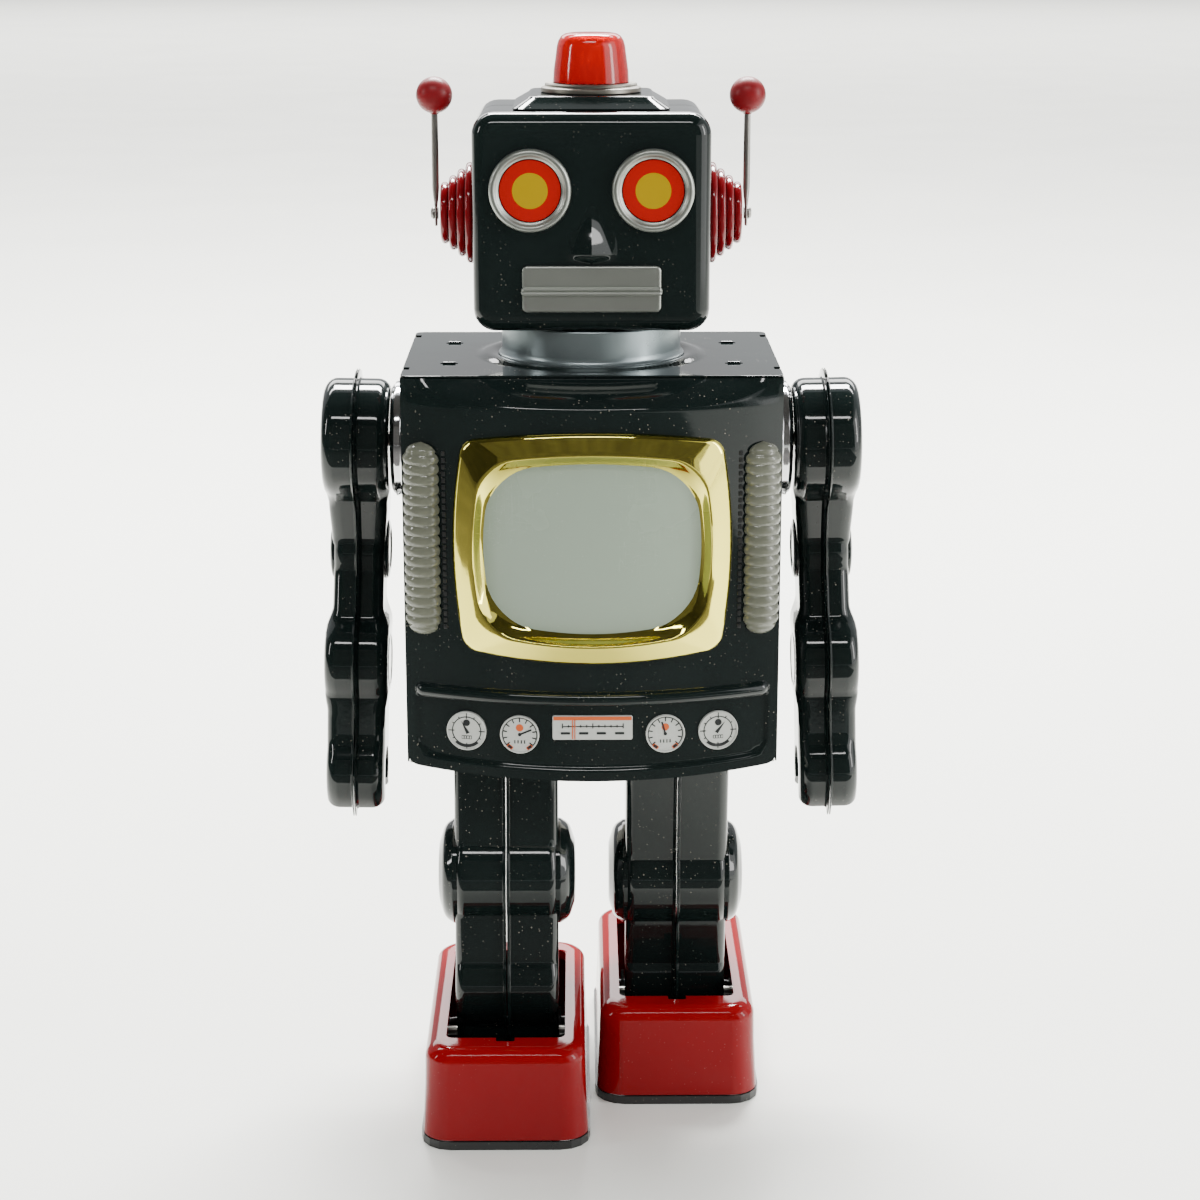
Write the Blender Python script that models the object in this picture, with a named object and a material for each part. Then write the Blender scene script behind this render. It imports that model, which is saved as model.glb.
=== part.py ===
"""Tin television robot: pressed tinplate shells around a motor, a crank for the legs and a picture drum.

Metres, +Z up, -Y is the robot's front, and the origin is on the ground midway between the two shoes.
"right" and "left" are the robot's own: its right side is at -X. It stands in mid step, right leg forward.
"""

import math

import bmesh
import bpy
from mathutils import Matrix, Vector

# ---------------------------------------------------------------- driving dimensions
TIN = 0.0006  # pressed tinplate wall
SEAT = 0.0003  # gap between two pieces that rest on each other
RUN = 0.0004  # running gap round a turning shaft
SIDES = 16  # facets round a large turned piece
SMALL_SIDES = 12  # facets round a pin or a shaft

TORSO_WIDTH = 0.128
TORSO_DEPTH = 0.0902
TORSO_Y = 0.0177  # middle of the torso box, behind the hip line
HIP_RISE = 0.023  # fulcrum pins above the torso's floor
TORSO_HEIGHT = 0.1356
TORSO_CORNER = 0.006
PANEL_BULGE = 0.015  # how far the front panel bows out at its middle
PANEL_DROP = 0.0018  # how far its lower edge hangs down at its middle
BROW_HEIGHT = 0.0091  # the panel is fully bowed below the brow and straight at its top edge
PANEL_COLUMNS = 16
RIDGE_RISE = 0.027
RIDGE_MARGIN = 0.0035
RIDGE_HEIGHT = 0.0022

SCREEN_DROP = 0.0559  # middle of the screen below the torso's top
BEZEL_HALF_HEIGHT = 0.0396
BEZEL_RIM = 0.0100  # from the bezel's outer edge in to the visible screen
BEZEL_STAND = 0.0045  # how far the bezel stands out from the panel
BEZEL_STEPS = 36
OUTLINE_POWER = 5.0  # squareness of the bezel's outline
SCREEN_THICK = 0.0012
SCREEN_CROWN = 0.0022  # extra bow of the screen itself

STRIP_WIDTH = 0.0130
STRIP_MARGIN = 0.0004
STRIP_LENGTH = 0.0670
STRIP_GAP = 0.0036  # between a strip and the bezel
STRIP_HEIGHT = 0.0045

HEAD_WIDTH = 0.0795
HEAD_DEPTH = 0.066
NECK_HEIGHT = 0.0123
HEAD_HEIGHT = 0.0728
HEAD_CORNER = 0.007
HEAD_EDGE = 0.005
EYE_X = 0.0204
EYE_RISE = 0.0475  # eyes, mouth and nose above the head's lower edge
EYE_RING = 0.0137
EYE_LENS = 0.0102
EYE_STAND = 0.0028
MOUTH_WIDTH = 0.0464
MOUTH_HEIGHT = 0.0155
MOUTH_RISE = 0.01485
MOUTH_RIDGE = 0.0028
NOSE_TOP_RISE = 0.0411
NOSE_RISE = 0.0239
NOSE_HALF = 0.0067
NOSE_HEIGHT = 0.004
PLINTH_FOOT = 0.0262  # half width of the square plinth at its foot
PLINTH_HEAD = 0.0209
PLINTH_CORNER = 0.004
PLINTH_HEIGHT = 0.0042
NECK_RADIUS = 0.0311

LAMP_BASE_RADIUS = 0.0171
LAMP_BASE_HEIGHT = 0.0028
LAMP_RADIUS = 0.0130
LAMP_PLATEAU = 0.0080
LAMP_SHOULDER = 0.0115
LAMP_HEIGHT = 0.0164
LAMP_WALL = 0.001
BULB_RADIUS = 0.004

EAR_RISE = 0.0363
EAR_LENGTH = 0.0119
EAR_RADIUS = 0.0173
EAR_END_RADIUS = 0.0106
EAR_TIERS = 4
ANTENNA_GAP = 0.0017  # from the ear's flat end to the middle of the rod
ANTENNA_RADIUS = 0.0014
ANTENNA_FLAT = 0.0010  # thickness of its flattened foot
RIVET_RADIUS = 0.0022
BALL_RADIUS = 0.0062
ANTENNA_RISE = 0.0396  # ball's middle above the ear's

SHOULDER_DROP = 0.0306
ARM_OUT = 0.0182  # from the torso's side to the arm's seam at the shoulder
ARM_HALF = 0.0088
SHOULDER_HALF = 0.0116
ELBOW_HALF = 0.0124
WRIST_HALF = 0.0112
ARM_BAND = 0.0125  # half depth of the straight bars between the arm's rolls
ARM_LEAN = 1.1  # degrees that the arm leans out from the shoulder
ARM_FLANGE = 0.0030
SHOULDER_RADIUS = 0.0214
RING_RADIUS = 0.0217
ELBOW = (0.0110, -0.0425, 0.0150)  # y and z from the shoulder axis, and radius
WRIST = (-0.0040, -0.0799, 0.0170)
HAND = (-0.0100, -0.1190, 0.0160)
CLAW_BORE = 0.0080
CLAW_MOUTH = 90.0  # degrees of the claw's ring that are open, downwards
SHOULDER_SHAFT = 0.0025

LEG_CLEAR = 0.0027  # between a leg and the side of the shoe's opening
LEG_BAND = 0.0155
LEG_FLANGE = 0.0015
FLANGE_THICK = 0.0006  # half of a crimped seam
LEG_LENGTH = 0.130  # from the fulcrum pin to the ankle pin
ANKLE_Z = 0.021112
STEP_ANGLE = 7.5  # degrees that each leg stands away from upright
LEG_LIFT = 0.004  # the forward leg is up by this on its pins, the rear leg down
CRANK_RISE = 0.0135  # crank pin above the fulcrum at mid lift
LEVER_RADIUS = 0.006
KNEE_SHARE = 0.5746  # how far down the leg the knee is
KNEE_RADIUS = 0.020
KNEE_DOME = 0.0186
KNEE_HALF = 0.0245
SHIN_ROLL_RISE = 0.016
SHIN_ROLL_RADIUS = 0.0180
LEG_END_RADIUS = 0.010
HIP_PIN = 0.002

SHOE_WIDTH = 0.0574
SHOE_GAP = 0.0020  # between the two soles
SHOE_LENGTH = 0.101
SHOE_TOP = 0.036
SHOE_CORNER = 0.010
SHOE_EDGE = 0.006
OPENING_EDGE = 0.0077
OPENING_ENDS = 0.0125
NOTCH_WIDTH = 0.0065
NOTCH_DEPTH = 0.0028
SOLE_TOP = 0.003
SOLE_LIP = 0.0006
ANKLE_PIN = 0.0016
WHEEL_RADIUS = 0.007
WHEEL_LIFT = 0.00005  # the wheels hang this little above the sole's underside
WHEEL_WIDTH = 0.0045
WHEEL_X = 0.0165
WHEEL_Y = 0.034
WHEEL_SHAFT = 0.0012
RAIL_INSET = 0.0047
RAIL_THICK = 0.0012

CRANK_SHAFT = 0.0018
CRANK_PIN = 0.0012
CRANK_DISC = 0.0065
FRAME_CLEAR = 0.0028  # between a leg and the drive frame
FRAME_PLATE = 0.001
FRAME_RISE = 0.022
GEAR_MODULE = 0.001
CRANK_TEETH = 24
PINION_TEETH = 16
GEAR_WIDTH = 0.003
FRICTION_WHEEL = 0.0135
FRICTION_X = 0.006
DRUM_RADIUS = 0.026
DRUM_WALL = 0.0008
DRUM_DROP = 0.0266
POST_RADIUS = 0.0018
MOTOR_RADIUS = 0.007
MOTOR_LENGTH = 0.024

BATTERY_WIDTH = 0.052
BATTERY_DEPTH = 0.024
BATTERY_HEIGHT = 0.050
BATTERY_RISE = 0.023
DOOR_WIDTH = 0.058
DOOR_HEIGHT = 0.056
DOOR_RISE = 0.023
DOOR_BARREL = 0.0012
SWITCH_X = 0.030
SWITCH_DROP = 0.0306
SWITCH_TRAVEL = 0.006

# ---------------------------------------------------------------- derived sizes
HIP_Z = ANKLE_Z + LEG_LENGTH * math.cos(math.radians(STEP_ANGLE))
STRIDE = LEG_LENGTH * math.sin(math.radians(STEP_ANGLE))
KNEE_DROP = LEG_LENGTH * KNEE_SHARE
SHIN_ROLL_DROP = LEG_LENGTH - SHIN_ROLL_RISE
LEG_X = SHOE_WIDTH / 2 + SOLE_LIP + SHOE_GAP / 2
OPENING_WIDTH = SHOE_WIDTH - 2 * OPENING_EDGE
OPENING_LENGTH = SHOE_LENGTH - 2 * OPENING_ENDS
LEG_HALF = OPENING_WIDTH / 2 - LEG_CLEAR
RAIL_X = SHOE_WIDTH / 2 - RAIL_INSET
WHEEL_Z = WHEEL_RADIUS + WHEEL_LIFT

TORSO_HALF = TORSO_WIDTH / 2
TORSO_FRONT = TORSO_Y - TORSO_DEPTH / 2
TORSO_BACK = TORSO_Y + TORSO_DEPTH / 2
TORSO_BOTTOM = HIP_Z - HIP_RISE
TORSO_TOP = TORSO_BOTTOM + TORSO_HEIGHT
TORSO_EAVES = TORSO_TOP - TIN - SEAT
BROW_BOTTOM = TORSO_TOP - BROW_HEIGHT
RIDGE_Z = TORSO_BOTTOM + RIDGE_RISE
RIDGE_HALF = TORSO_HALF - RIDGE_MARGIN
SCREEN_Z = TORSO_TOP - SCREEN_DROP
STRIP_Z = SCREEN_Z + 0.001
STRIP_OUTER = TORSO_HALF - STRIP_MARGIN
STRIP_INNER = STRIP_OUTER - STRIP_WIDTH
BEZEL_HALF_WIDTH = STRIP_INNER - STRIP_GAP
SHOULDER_Z = TORSO_TOP - SHOULDER_DROP
ARM_X = TORSO_HALF + ARM_OUT
SWITCH_Z = TORSO_TOP - SWITCH_DROP
BATTERY_BOTTOM = TORSO_BOTTOM + BATTERY_RISE
DOOR_BOTTOM = TORSO_BOTTOM + DOOR_RISE
BATTERY_Y = TORSO_BACK - TIN - 0.0012 - BATTERY_DEPTH / 2

HEAD_BOTTOM = TORSO_TOP + NECK_HEIGHT
HEAD_TOP = HEAD_BOTTOM + HEAD_HEIGHT
HEAD_FRONT = TORSO_Y - HEAD_DEPTH / 2
HEAD_BACK = TORSO_Y + HEAD_DEPTH / 2
EYE_Z = HEAD_BOTTOM + EYE_RISE
MOUTH_Z = HEAD_BOTTOM + MOUTH_RISE
NOSE_TOP = HEAD_BOTTOM + NOSE_TOP_RISE
NOSE_BOTTOM = HEAD_BOTTOM + NOSE_RISE
PLINTH_BOTTOM = HEAD_TOP + SEAT
PLINTH_TOP = PLINTH_BOTTOM + PLINTH_HEIGHT
LAMP_BASE = PLINTH_TOP + SEAT
LAMP_SEAT = LAMP_BASE + LAMP_BASE_HEIGHT + SEAT
LAMP_TOP = LAMP_SEAT + LAMP_HEIGHT
EAR_Z = HEAD_BOTTOM + EAR_RISE
EAR_REACH = HEAD_WIDTH / 2 + EAR_LENGTH
ANTENNA_X = EAR_REACH + ANTENNA_GAP
BALL_Z = EAR_Z + ANTENNA_RISE

CRANK_Z = HIP_Z + CRANK_RISE
CRANK_THROW_Y = CRANK_RISE * math.tan(math.radians(STEP_ANGLE))
PINION_Y = GEAR_MODULE * (CRANK_TEETH + PINION_TEETH) / 2
FRAME_HALF = LEG_X - LEG_HALF - FRAME_CLEAR
FRAME_TOP = HIP_Z + FRAME_RISE
DRUM_BOTTOM = CRANK_Z + FRICTION_WHEEL + SEAT
DRUM_TOP = TORSO_TOP - DRUM_DROP
SIDE_NAMES = ((-1, "right"), (1, "left"))


# ---------------------------------------------------------------- scene and materials
def clear_scene():
    for old in list(bpy.data.objects):
        bpy.data.objects.remove(old)


def material(name, colour, roughness, metallic=0.0, alpha=1.0):
    made = bpy.data.materials.new(name)
    made.use_nodes = True
    shader = made.node_tree.nodes["Principled BSDF"]
    shader.inputs["Base Color"].default_value = (*colour, 1.0)
    shader.inputs["Roughness"].default_value = roughness
    shader.inputs["Metallic"].default_value = metallic
    shader.inputs["Alpha"].default_value = alpha
    return made


def make_materials():
    return {
        "black": material("black_lacquer", (0.008, 0.009, 0.009), 0.12),
        "shoe_red": material("crimson_lacquer", (0.42, 0.008, 0.014), 0.14),
        "ear_red": material("ear_red", (0.30, 0.008, 0.010), 0.2),
        "ball_red": material("ball_red", (0.33, 0.02, 0.02), 0.4),
        "silver": material("satin_tinplate", (0.55, 0.57, 0.58), 0.35, 1.0),
        "chrome": material("bright_plate", (0.75, 0.76, 0.76), 0.1, 1.0),
        "gold": material("gold_plate", (0.80, 0.60, 0.25), 0.15, 1.0),
        "steel": material("dark_steel", (0.20, 0.19, 0.18), 0.35, 1.0),
        "nickel": material("dull_nickel", (0.45, 0.45, 0.43), 0.3, 1.0),
        "screen": material("milky_screen", (0.62, 0.68, 0.64), 0.25),
        "strip": material("clear_strip", (0.75, 0.78, 0.80), 0.15, alpha=0.6),
        "lamp": material("red_lamp", (0.65, 0.02, 0.02), 0.15, alpha=0.8),
        "glass": material("bulb_glass", (0.9, 0.9, 0.88), 0.05, alpha=0.5),
        "eye": material("eye_disc", (0.75, 0.10, 0.02), 0.25),
        "sole": material("sole_black", (0.012, 0.012, 0.012), 0.3),
        "wheel": material("black_rubber", (0.02, 0.02, 0.02), 0.8),
        "plate": material("bare_tinplate", (0.50, 0.49, 0.46), 0.35, 1.0),
        "brass": material("gear_brass", (0.70, 0.50, 0.20), 0.3, 1.0),
        "drum": material("drum_film", (0.55, 0.60, 0.70), 0.4),
        "battery": material("battery_card", (0.10, 0.20, 0.45), 0.5),
    }


# ---------------------------------------------------------------- modelling helpers
def finish(name, bm, mat, place=None, sharp=35):
    """Turns a bmesh into a named object, shaded smooth except at sharp edges."""
    bmesh.ops.remove_doubles(bm, verts=bm.verts, dist=1e-6)
    bmesh.ops.recalc_face_normals(bm, faces=bm.faces)
    if place is not None:
        bmesh.ops.transform(bm, matrix=place, verts=bm.verts)
    mesh = bpy.data.meshes.new(name)
    bm.to_mesh(mesh)
    bm.free()
    mesh.shade_smooth()
    mesh.set_sharp_from_angle(angle=math.radians(sharp))
    obj = bpy.data.objects.new(name, mesh)
    bpy.context.scene.collection.objects.link(obj)
    if mat is not None:
        mesh.materials.append(mat)
    return obj


def loft(rings, closed=False):
    """Skins a row of equal rings. Open ends are capped, or the last ring joins the first."""
    bm = bmesh.new()
    rows = [[bm.verts.new(point) for point in ring] for ring in rings]
    pairs = list(zip(rows, rows[1:]))
    if closed:
        pairs.append((rows[-1], rows[0]))
    else:
        bm.faces.new(rows[0])
        bm.faces.new(rows[-1])
    for first, second in pairs:
        for i in range(len(first)):
            k = (i + 1) % len(first)
            bm.faces.new((first[i], first[k], second[k], second[i]))
    return bm


def turned(profile, sides, axis="Z", centre=(0, 0, 0), closed=False):
    """Spins a profile of (radius, station) points about an axis through centre."""
    bm = bmesh.new()
    points = [bm.verts.new((radius, 0, station)) for radius, station in profile]
    edges = [bm.edges.new(pair) for pair in zip(points, points[1:])]
    if closed:
        edges.append(bm.edges.new((points[-1], points[0])))
    full = {"cent": (0, 0, 0), "axis": (0, 0, 1), "dvec": (0, 0, 0), "angle": math.tau}
    bmesh.ops.spin(bm, geom=points + edges, steps=sides, use_merge=True, **full)
    bmesh.ops.remove_doubles(bm, verts=bm.verts, dist=1e-6)
    turn = {
        "Z": Matrix.Identity(4),
        "X": Matrix.Rotation(math.pi / 2, 4, "Y"),
        "-X": Matrix.Rotation(-math.pi / 2, 4, "Y"),
        "-Y": Matrix.Rotation(math.pi / 2, 4, "X"),
    }[axis]
    bmesh.ops.transform(bm, matrix=Matrix.Translation(centre) @ turn, verts=bm.verts)
    return bm


def rod(radius, start, end, axis, centre=(0, 0, 0), sides=SMALL_SIDES):
    """A plain round bar between two stations along its axis."""
    return turned([(0, start), (radius, start), (radius, end), (0, end)], sides, axis, centre)


def block(low, high):
    """A box between two corners."""
    bm = bmesh.new()
    bmesh.ops.create_cube(bm, size=1)
    size = Vector(high) - Vector(low)
    middle = (Vector(high) + Vector(low)) / 2
    bmesh.ops.transform(bm, matrix=Matrix.Translation(middle) @ Matrix.Diagonal((*size, 1)), verts=bm.verts)
    return bm


def placed(axis, a, b, c):
    """Puts outline coordinates a, b at height c along an axis: X takes (y, z), Y takes (x, z), Z takes (x, y)."""
    return {"X": (c, a, b), "Y": (a, c, b), "Z": (a, b, c)}[axis]


def prism(outline, low, high, axis="X"):
    """Extrudes an outline along an axis."""
    return loft([[placed(axis, a, b, c) for a, b in outline] for c in (low, high)])


def arc(centre, radius, start, end, steps):
    """Points on a circle from one angle to another, in degrees."""
    angles = [math.radians(start + (end - start) * i / steps) for i in range(steps + 1)]
    return [(centre[0] + radius * math.cos(a), centre[1] + radius * math.sin(a)) for a in angles]


def rounded_rectangle(half_width, half_length, corner, steps=3, centre=(0, 0)):
    """Outline of a rectangle with round corners, anticlockwise."""
    points = []
    for sx, sy, start in ((1, 1, 0), (-1, 1, 90), (-1, -1, 180), (1, -1, 270)):
        middle = (centre[0] + sx * (half_width - corner), centre[1] + sy * (half_length - corner))
        points += arc(middle, corner, start, start + 90, steps)
    return points


def stadium(centre, radius, travel, steps=4):
    """Outline of an upright slot: a circle drawn out by travel both ways."""
    y, z = centre
    return arc((y, z + travel), radius, 0, 180, steps) + arc((y, z - travel), radius, 180, 360, steps)


def offset(outline, grow):
    """Moves an anticlockwise outline outwards by grow, keeping its walls parallel."""
    count = len(outline)
    moved = []
    for i, here in enumerate(outline):
        here = Vector(here)
        before = (here - Vector(outline[i - 1])).normalized()
        after = (Vector(outline[(i + 1) % count]) - here).normalized()
        out_before = Vector((before.y, -before.x))
        out_after = Vector((after.y, -after.x))
        middle = (out_before + out_after).normalized()
        moved.append(tuple(here + middle * (grow / max(middle.dot(out_after), 0.6))))
    return moved


def tray(outline, axis, seam, top, edge, flange=0.0, wall=TIN):
    """A pressed shell, open at its seam and closed at its top, with a crimped flange round the seam."""
    side = 1 if top > seam else -1

    def ring(station, grow):
        return [placed(axis, a, b, station) for a, b in offset(outline, grow)]

    rings = [
        ring(top - side * wall, -edge),
        ring(top - side * (wall + edge * 0.5), -wall),
        ring(seam, -wall),
        ring(seam, flange),
    ]
    if flange > 0:
        rings += [ring(seam + side * FLANGE_THICK, flange), ring(seam + side * FLANGE_THICK, 0)]
    rings += [ring(top - side * edge, 0), ring(top - side * edge * 0.3, -edge * 0.3), ring(top, -edge)]
    return loft(rings)


def helper(target, bm, operation, place=None):
    """Adds a Boolean modifier with a hidden helper solid."""
    solid = finish(target.name + "_" + operation.lower(), bm, None, place)
    modifier = target.modifiers.new(operation.lower(), "BOOLEAN")
    modifier.operation = operation
    modifier.object = solid
    modifier.solver = "EXACT"
    solid.hide_render = True
    solid.display_type = "WIRE"


def cut(target, *tools, place=None):
    for tool in tools:
        helper(target, tool, "DIFFERENCE", place)
    return target


def add(target, *pieces, place=None):
    for piece in pieces:
        helper(target, piece, "UNION", place)
    return target


def pivot(name, location, *pieces):
    """An empty on a joint's axis that carries the pieces which move with it."""
    empty = bpy.data.objects.new(name, None)
    empty.empty_display_size = 0.01
    empty.location = location
    bpy.context.scene.collection.objects.link(empty)
    for piece in pieces:
        piece.parent = empty
        piece.matrix_parent_inverse = Matrix.Translation(location).inverted()
    return empty


def reach(circles, band, height, side):
    """Furthest point forward (-1) or back (+1), at one height, of a limb drawn as circles on a straight band."""
    found = []
    for y, z, radius in circles:
        if abs(height - z) <= radius:
            found.append(side * y + math.sqrt(radius**2 - (height - z) ** 2))
    for (y0, z0, r0), (y1, z1, r1) in zip(circles, circles[1:]):
        along = (z0 - height) / (z0 - z1)
        if 0 <= along <= 1:
            found.append(side * (y0 + (y1 - y0) * along) + min(band, r0 + (r1 - r0) * along))
    return side * max(found)


def limb_outline(circles, band, bottom_cap, steps=6):
    """Side outline of a limb: a round top, rolls standing out from a straight band, and its own lower cap."""
    levels = [circles[0][1]]
    for _, z, radius in circles[1:-1]:
        stand = math.sqrt(max(radius**2 - band**2, 0))
        levels += [z + stand * part for part in ((1, 0, -1) if stand > 0.002 else (0,))]
    levels.append(circles[-1][1])
    top = circles[0]
    points = arc(top[:2], top[2], 0, 180, steps)
    points += [(reach(circles, band, z, -1), z) for z in levels[1:-1]]
    points += bottom_cap
    points += [(reach(circles, band, z, 1), z) for z in reversed(levels[1:-1])]
    return points


def gear_outline(teeth, centre, phase=0.0):
    """Spur gear outline with straight-sided teeth. The first tooth points along phase, in teeth."""
    pitch = GEAR_MODULE * teeth / 2
    stations = (
        (pitch - 1.15 * GEAR_MODULE, 1.0),
        (pitch + 0.75 * GEAR_MODULE, 0.26),
        (pitch + 0.75 * GEAR_MODULE, -0.26),
        (pitch - 1.15 * GEAR_MODULE, -1.0),
    )
    points = []
    for i in range(teeth):
        middle = math.tau * (i + phase) / teeth
        for radius, half in reversed(stations):
            angle = middle + half * GEAR_MODULE / radius
            points.append((centre[0] + radius * math.cos(angle), centre[1] + radius * math.sin(angle)))
    return points


# ---------------------------------------------------------------- torso
def panel_y(x, z=SCREEN_Z):
    """Outer face of the bowed front panel."""
    bow = PANEL_BULGE * (1 - (x / TORSO_HALF) ** 2)
    brow = (TORSO_EAVES - z) / (TORSO_EAVES - BROW_BOTTOM)
    return TORSO_FRONT - bow * min(max(brow, 0), 1)


def bezel_outline(inset, steps=BEZEL_STEPS):
    """Barrel-shaped outline of the screen bezel in (x, z), moved in from its outer edge."""
    points = []
    for i in range(steps):
        angle = math.tau * i / steps
        across, up = math.cos(angle), math.sin(angle)
        size = (abs(across) ** OUTLINE_POWER + abs(up) ** OUTLINE_POWER) ** (-1 / OUTLINE_POWER)
        x = (BEZEL_HALF_WIDTH - inset) * across * size
        z = (BEZEL_HALF_HEIGHT - inset) * up * size
        points.append((x, SCREEN_Z + z))
    return points


def torso_pieces(mats):
    half = TORSO_HALF
    columns = [half * (2 * i / PANEL_COLUMNS - 1) * 0.999 for i in range(PANEL_COLUMNS + 1)]
    rings = []
    for x in columns:
        bottom = TORSO_BOTTOM - PANEL_DROP * (1 - (x / half) ** 2)
        levels = (bottom, BROW_BOTTOM, TORSO_EAVES)
        outer = [(x, panel_y(x, z), z) for z in levels]
        inner = [(x, panel_y(x, z) + TIN, z) for z in reversed(levels)]
        rings.append(outer + inner)
    panel = finish("front_panel", loft(rings), mats["black"])
    cut(panel, prism(bezel_outline(0.0062), -0.06, 0.0, "Y"))
    ridge = []
    for i in range(PANEL_COLUMNS + 1):
        x = RIDGE_HALF * (2 * i / PANEL_COLUMNS - 1)
        swell = RIDGE_HEIGHT * (0.45 if i in (0, PANEL_COLUMNS) else 1)
        face = panel_y(x) + TIN / 2
        ridge.append([(x, face - (swell + TIN / 2) * b, RIDGE_Z + swell * 0.6 * a)
                      for a, b in ((-1, 0), (-0.7, 0.7), (0, 1), (0.7, 0.7), (1, 0))])
    add(panel, loft(ridge))

    corner = TORSO_CORNER
    front = TORSO_FRONT + 2 * SEAT + TIN

    def wall(inset):
        r = corner - inset
        right = arc((half - corner, TORSO_BACK - corner), r, 0, 90, 3)
        left = arc((corner - half, TORSO_BACK - corner), r, 90, 180, 3)
        return [(half - inset, front)] + right + left + [(inset - half, front)]

    shell = finish("torso_shell", prism(wall(0) + wall(TIN)[::-1], TORSO_BOTTOM, TORSO_EAVES, "Z"), mats["black"])
    back = TORSO_BACK + 0.004
    door_top = DOOR_BOTTOM + DOOR_HEIGHT
    cut(
        shell,
        block((-DOOR_WIDTH / 2, TORSO_BACK - 0.004, DOOR_BOTTOM), (DOOR_WIDTH / 2, back, door_top)),
        block((SWITCH_X - 0.0018, TORSO_BACK - 0.004, SWITCH_Z - 0.0015),
              (SWITCH_X + SWITCH_TRAVEL + 0.0018, back, SWITCH_Z + 0.0015)),
        rod(SHOULDER_SHAFT + RUN, -TORSO_HALF - 0.016, TORSO_HALF + 0.016, "X", (0, TORSO_Y, SHOULDER_Z)),
    )

    depth_half = (TORSO_BACK - TORSO_FRONT) / 2 - 0.0001
    plate = rounded_rectangle(half - 0.0001, depth_half, 0.004, 3, (0, TORSO_Y))
    top = finish("top_plate", prism(plate, TORSO_TOP - TIN, TORSO_TOP, "Z"), mats["black"])
    for side in (-1, 1):
        for y, wide in ((TORSO_Y + 0.020, 0.0028), (TORSO_Y - 0.0216, 0.0028)):
            x = side * 0.0486
            cut(top, block((x - wide, y - 0.0008, TORSO_TOP - 0.01), (x + wide, y + 0.0008, TORSO_TOP + 0.01)))
    cut(top, rod(0.007, TORSO_TOP - 0.01, TORSO_TOP + 0.01, "Z", (0, TORSO_Y, 0)))

    inside = half - TIN - SEAT
    floor = [(x, panel_y(x) + TIN + SEAT) for x in [inside * (2 * i / 8 - 1) for i in range(9)]]
    floor += [(inside, TORSO_BACK - corner)] + [(inside - corner, TORSO_BACK - TIN - SEAT)]
    floor += [(corner - inside, TORSO_BACK - TIN - SEAT), (-inside, TORSO_BACK - corner)]
    base = finish("base_plate", prism(floor, TORSO_BOTTOM, TORSO_BOTTOM + TIN, "Z"), mats["plate"])
    below = HIP_Z - TORSO_BOTTOM
    room_y = (LEG_BAND + LEG_FLANGE + below * math.sin(math.radians(STEP_ANGLE))) + 0.0015
    room_x = LEG_HALF + 0.002
    for side in (-1, 1):
        low, high = TORSO_BOTTOM - 0.007, TORSO_BOTTOM + 0.008
        cut(base, block((side * LEG_X - room_x, -room_y, low), (side * LEG_X + room_x, room_y, high)))
    return [panel, shell, top, base]


def screen_pieces(mats):
    stations = (
        (0.0, -SEAT),
        (0.0004, -0.5 * BEZEL_STAND),
        (0.0032, -BEZEL_STAND),
        (0.0078, -0.78 * BEZEL_STAND),
        (BEZEL_RIM, -0.4 * BEZEL_STAND),
        (BEZEL_RIM, -0.7 * TIN - SEAT),
        (0.0055, -SEAT),
    )
    rings = []
    for inset, out in stations:
        rings.append([(x, panel_y(x) + out, z) for x, z in bezel_outline(inset)])
    finish("screen_bezel", loft(rings, closed=True), mats["gold"])

    rings = []
    edge = 0.0072
    for back, share in ((1, 0.0), (1, 0.5), (1, 1.0), (0, 1.0), (0, 0.75), (0, 0.4), (0, 0.0)):
        ring = []
        for x, z in bezel_outline(edge):
            x, z = x * share, SCREEN_Z + (z - SCREEN_Z) * share
            crown = SCREEN_CROWN * (1 - share**2)
            ring.append((x, panel_y(x) + 0.0004 - crown + back * SCREEN_THICK, z))
        rings.append(ring)
    finish("screen", loft_disc(rings), mats["screen"])


def loft_disc(rings):
    """Skins rings whose first and last have shrunk to a point."""
    bm = bmesh.new()
    rows = [[bm.verts.new(point) for point in ring] for ring in rings[1:-1]]
    for first, second in zip(rows, rows[1:]):
        for i in range(len(first)):
            k = (i + 1) % len(first)
            bm.faces.new((first[i], first[k], second[k], second[i]))
    for row, point in ((rows[0], rings[0][0]), (rows[-1], rings[-1][0])):
        hub = bm.verts.new(point)
        for i in range(len(row)):
            bm.faces.new((row[i], row[(i + 1) % len(row)], hub))
    return bm


def light_strip(side, name, mats):
    inner = Vector((STRIP_INNER, panel_y(STRIP_INNER)))
    outer = Vector((STRIP_OUTER, panel_y(STRIP_OUTER)))
    along = outer - inner
    normal = Vector((along.y, -along.x)).normalized()
    middle = (inner + outer) / 2 + normal * (SEAT + 0.0001)
    rings = []
    for share, swell in ((-1, 0.30), (-0.96, 0.72), (-0.9, 1), (0.9, 1), (0.96, 0.72), (1, 0.30)):
        z = STRIP_Z + share * STRIP_LENGTH / 2
        ring = []
        for i in range(9):
            angle = math.pi * i / 8
            spot = middle + along * (0.5 * swell * math.cos(angle)) + normal * (STRIP_HEIGHT * swell * math.sin(angle))
            ring.append((side * spot.x, spot.y, z))
        rings.append(ring)
    finish("light_strip_" + name, loft(rings), mats["strip"])


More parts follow.
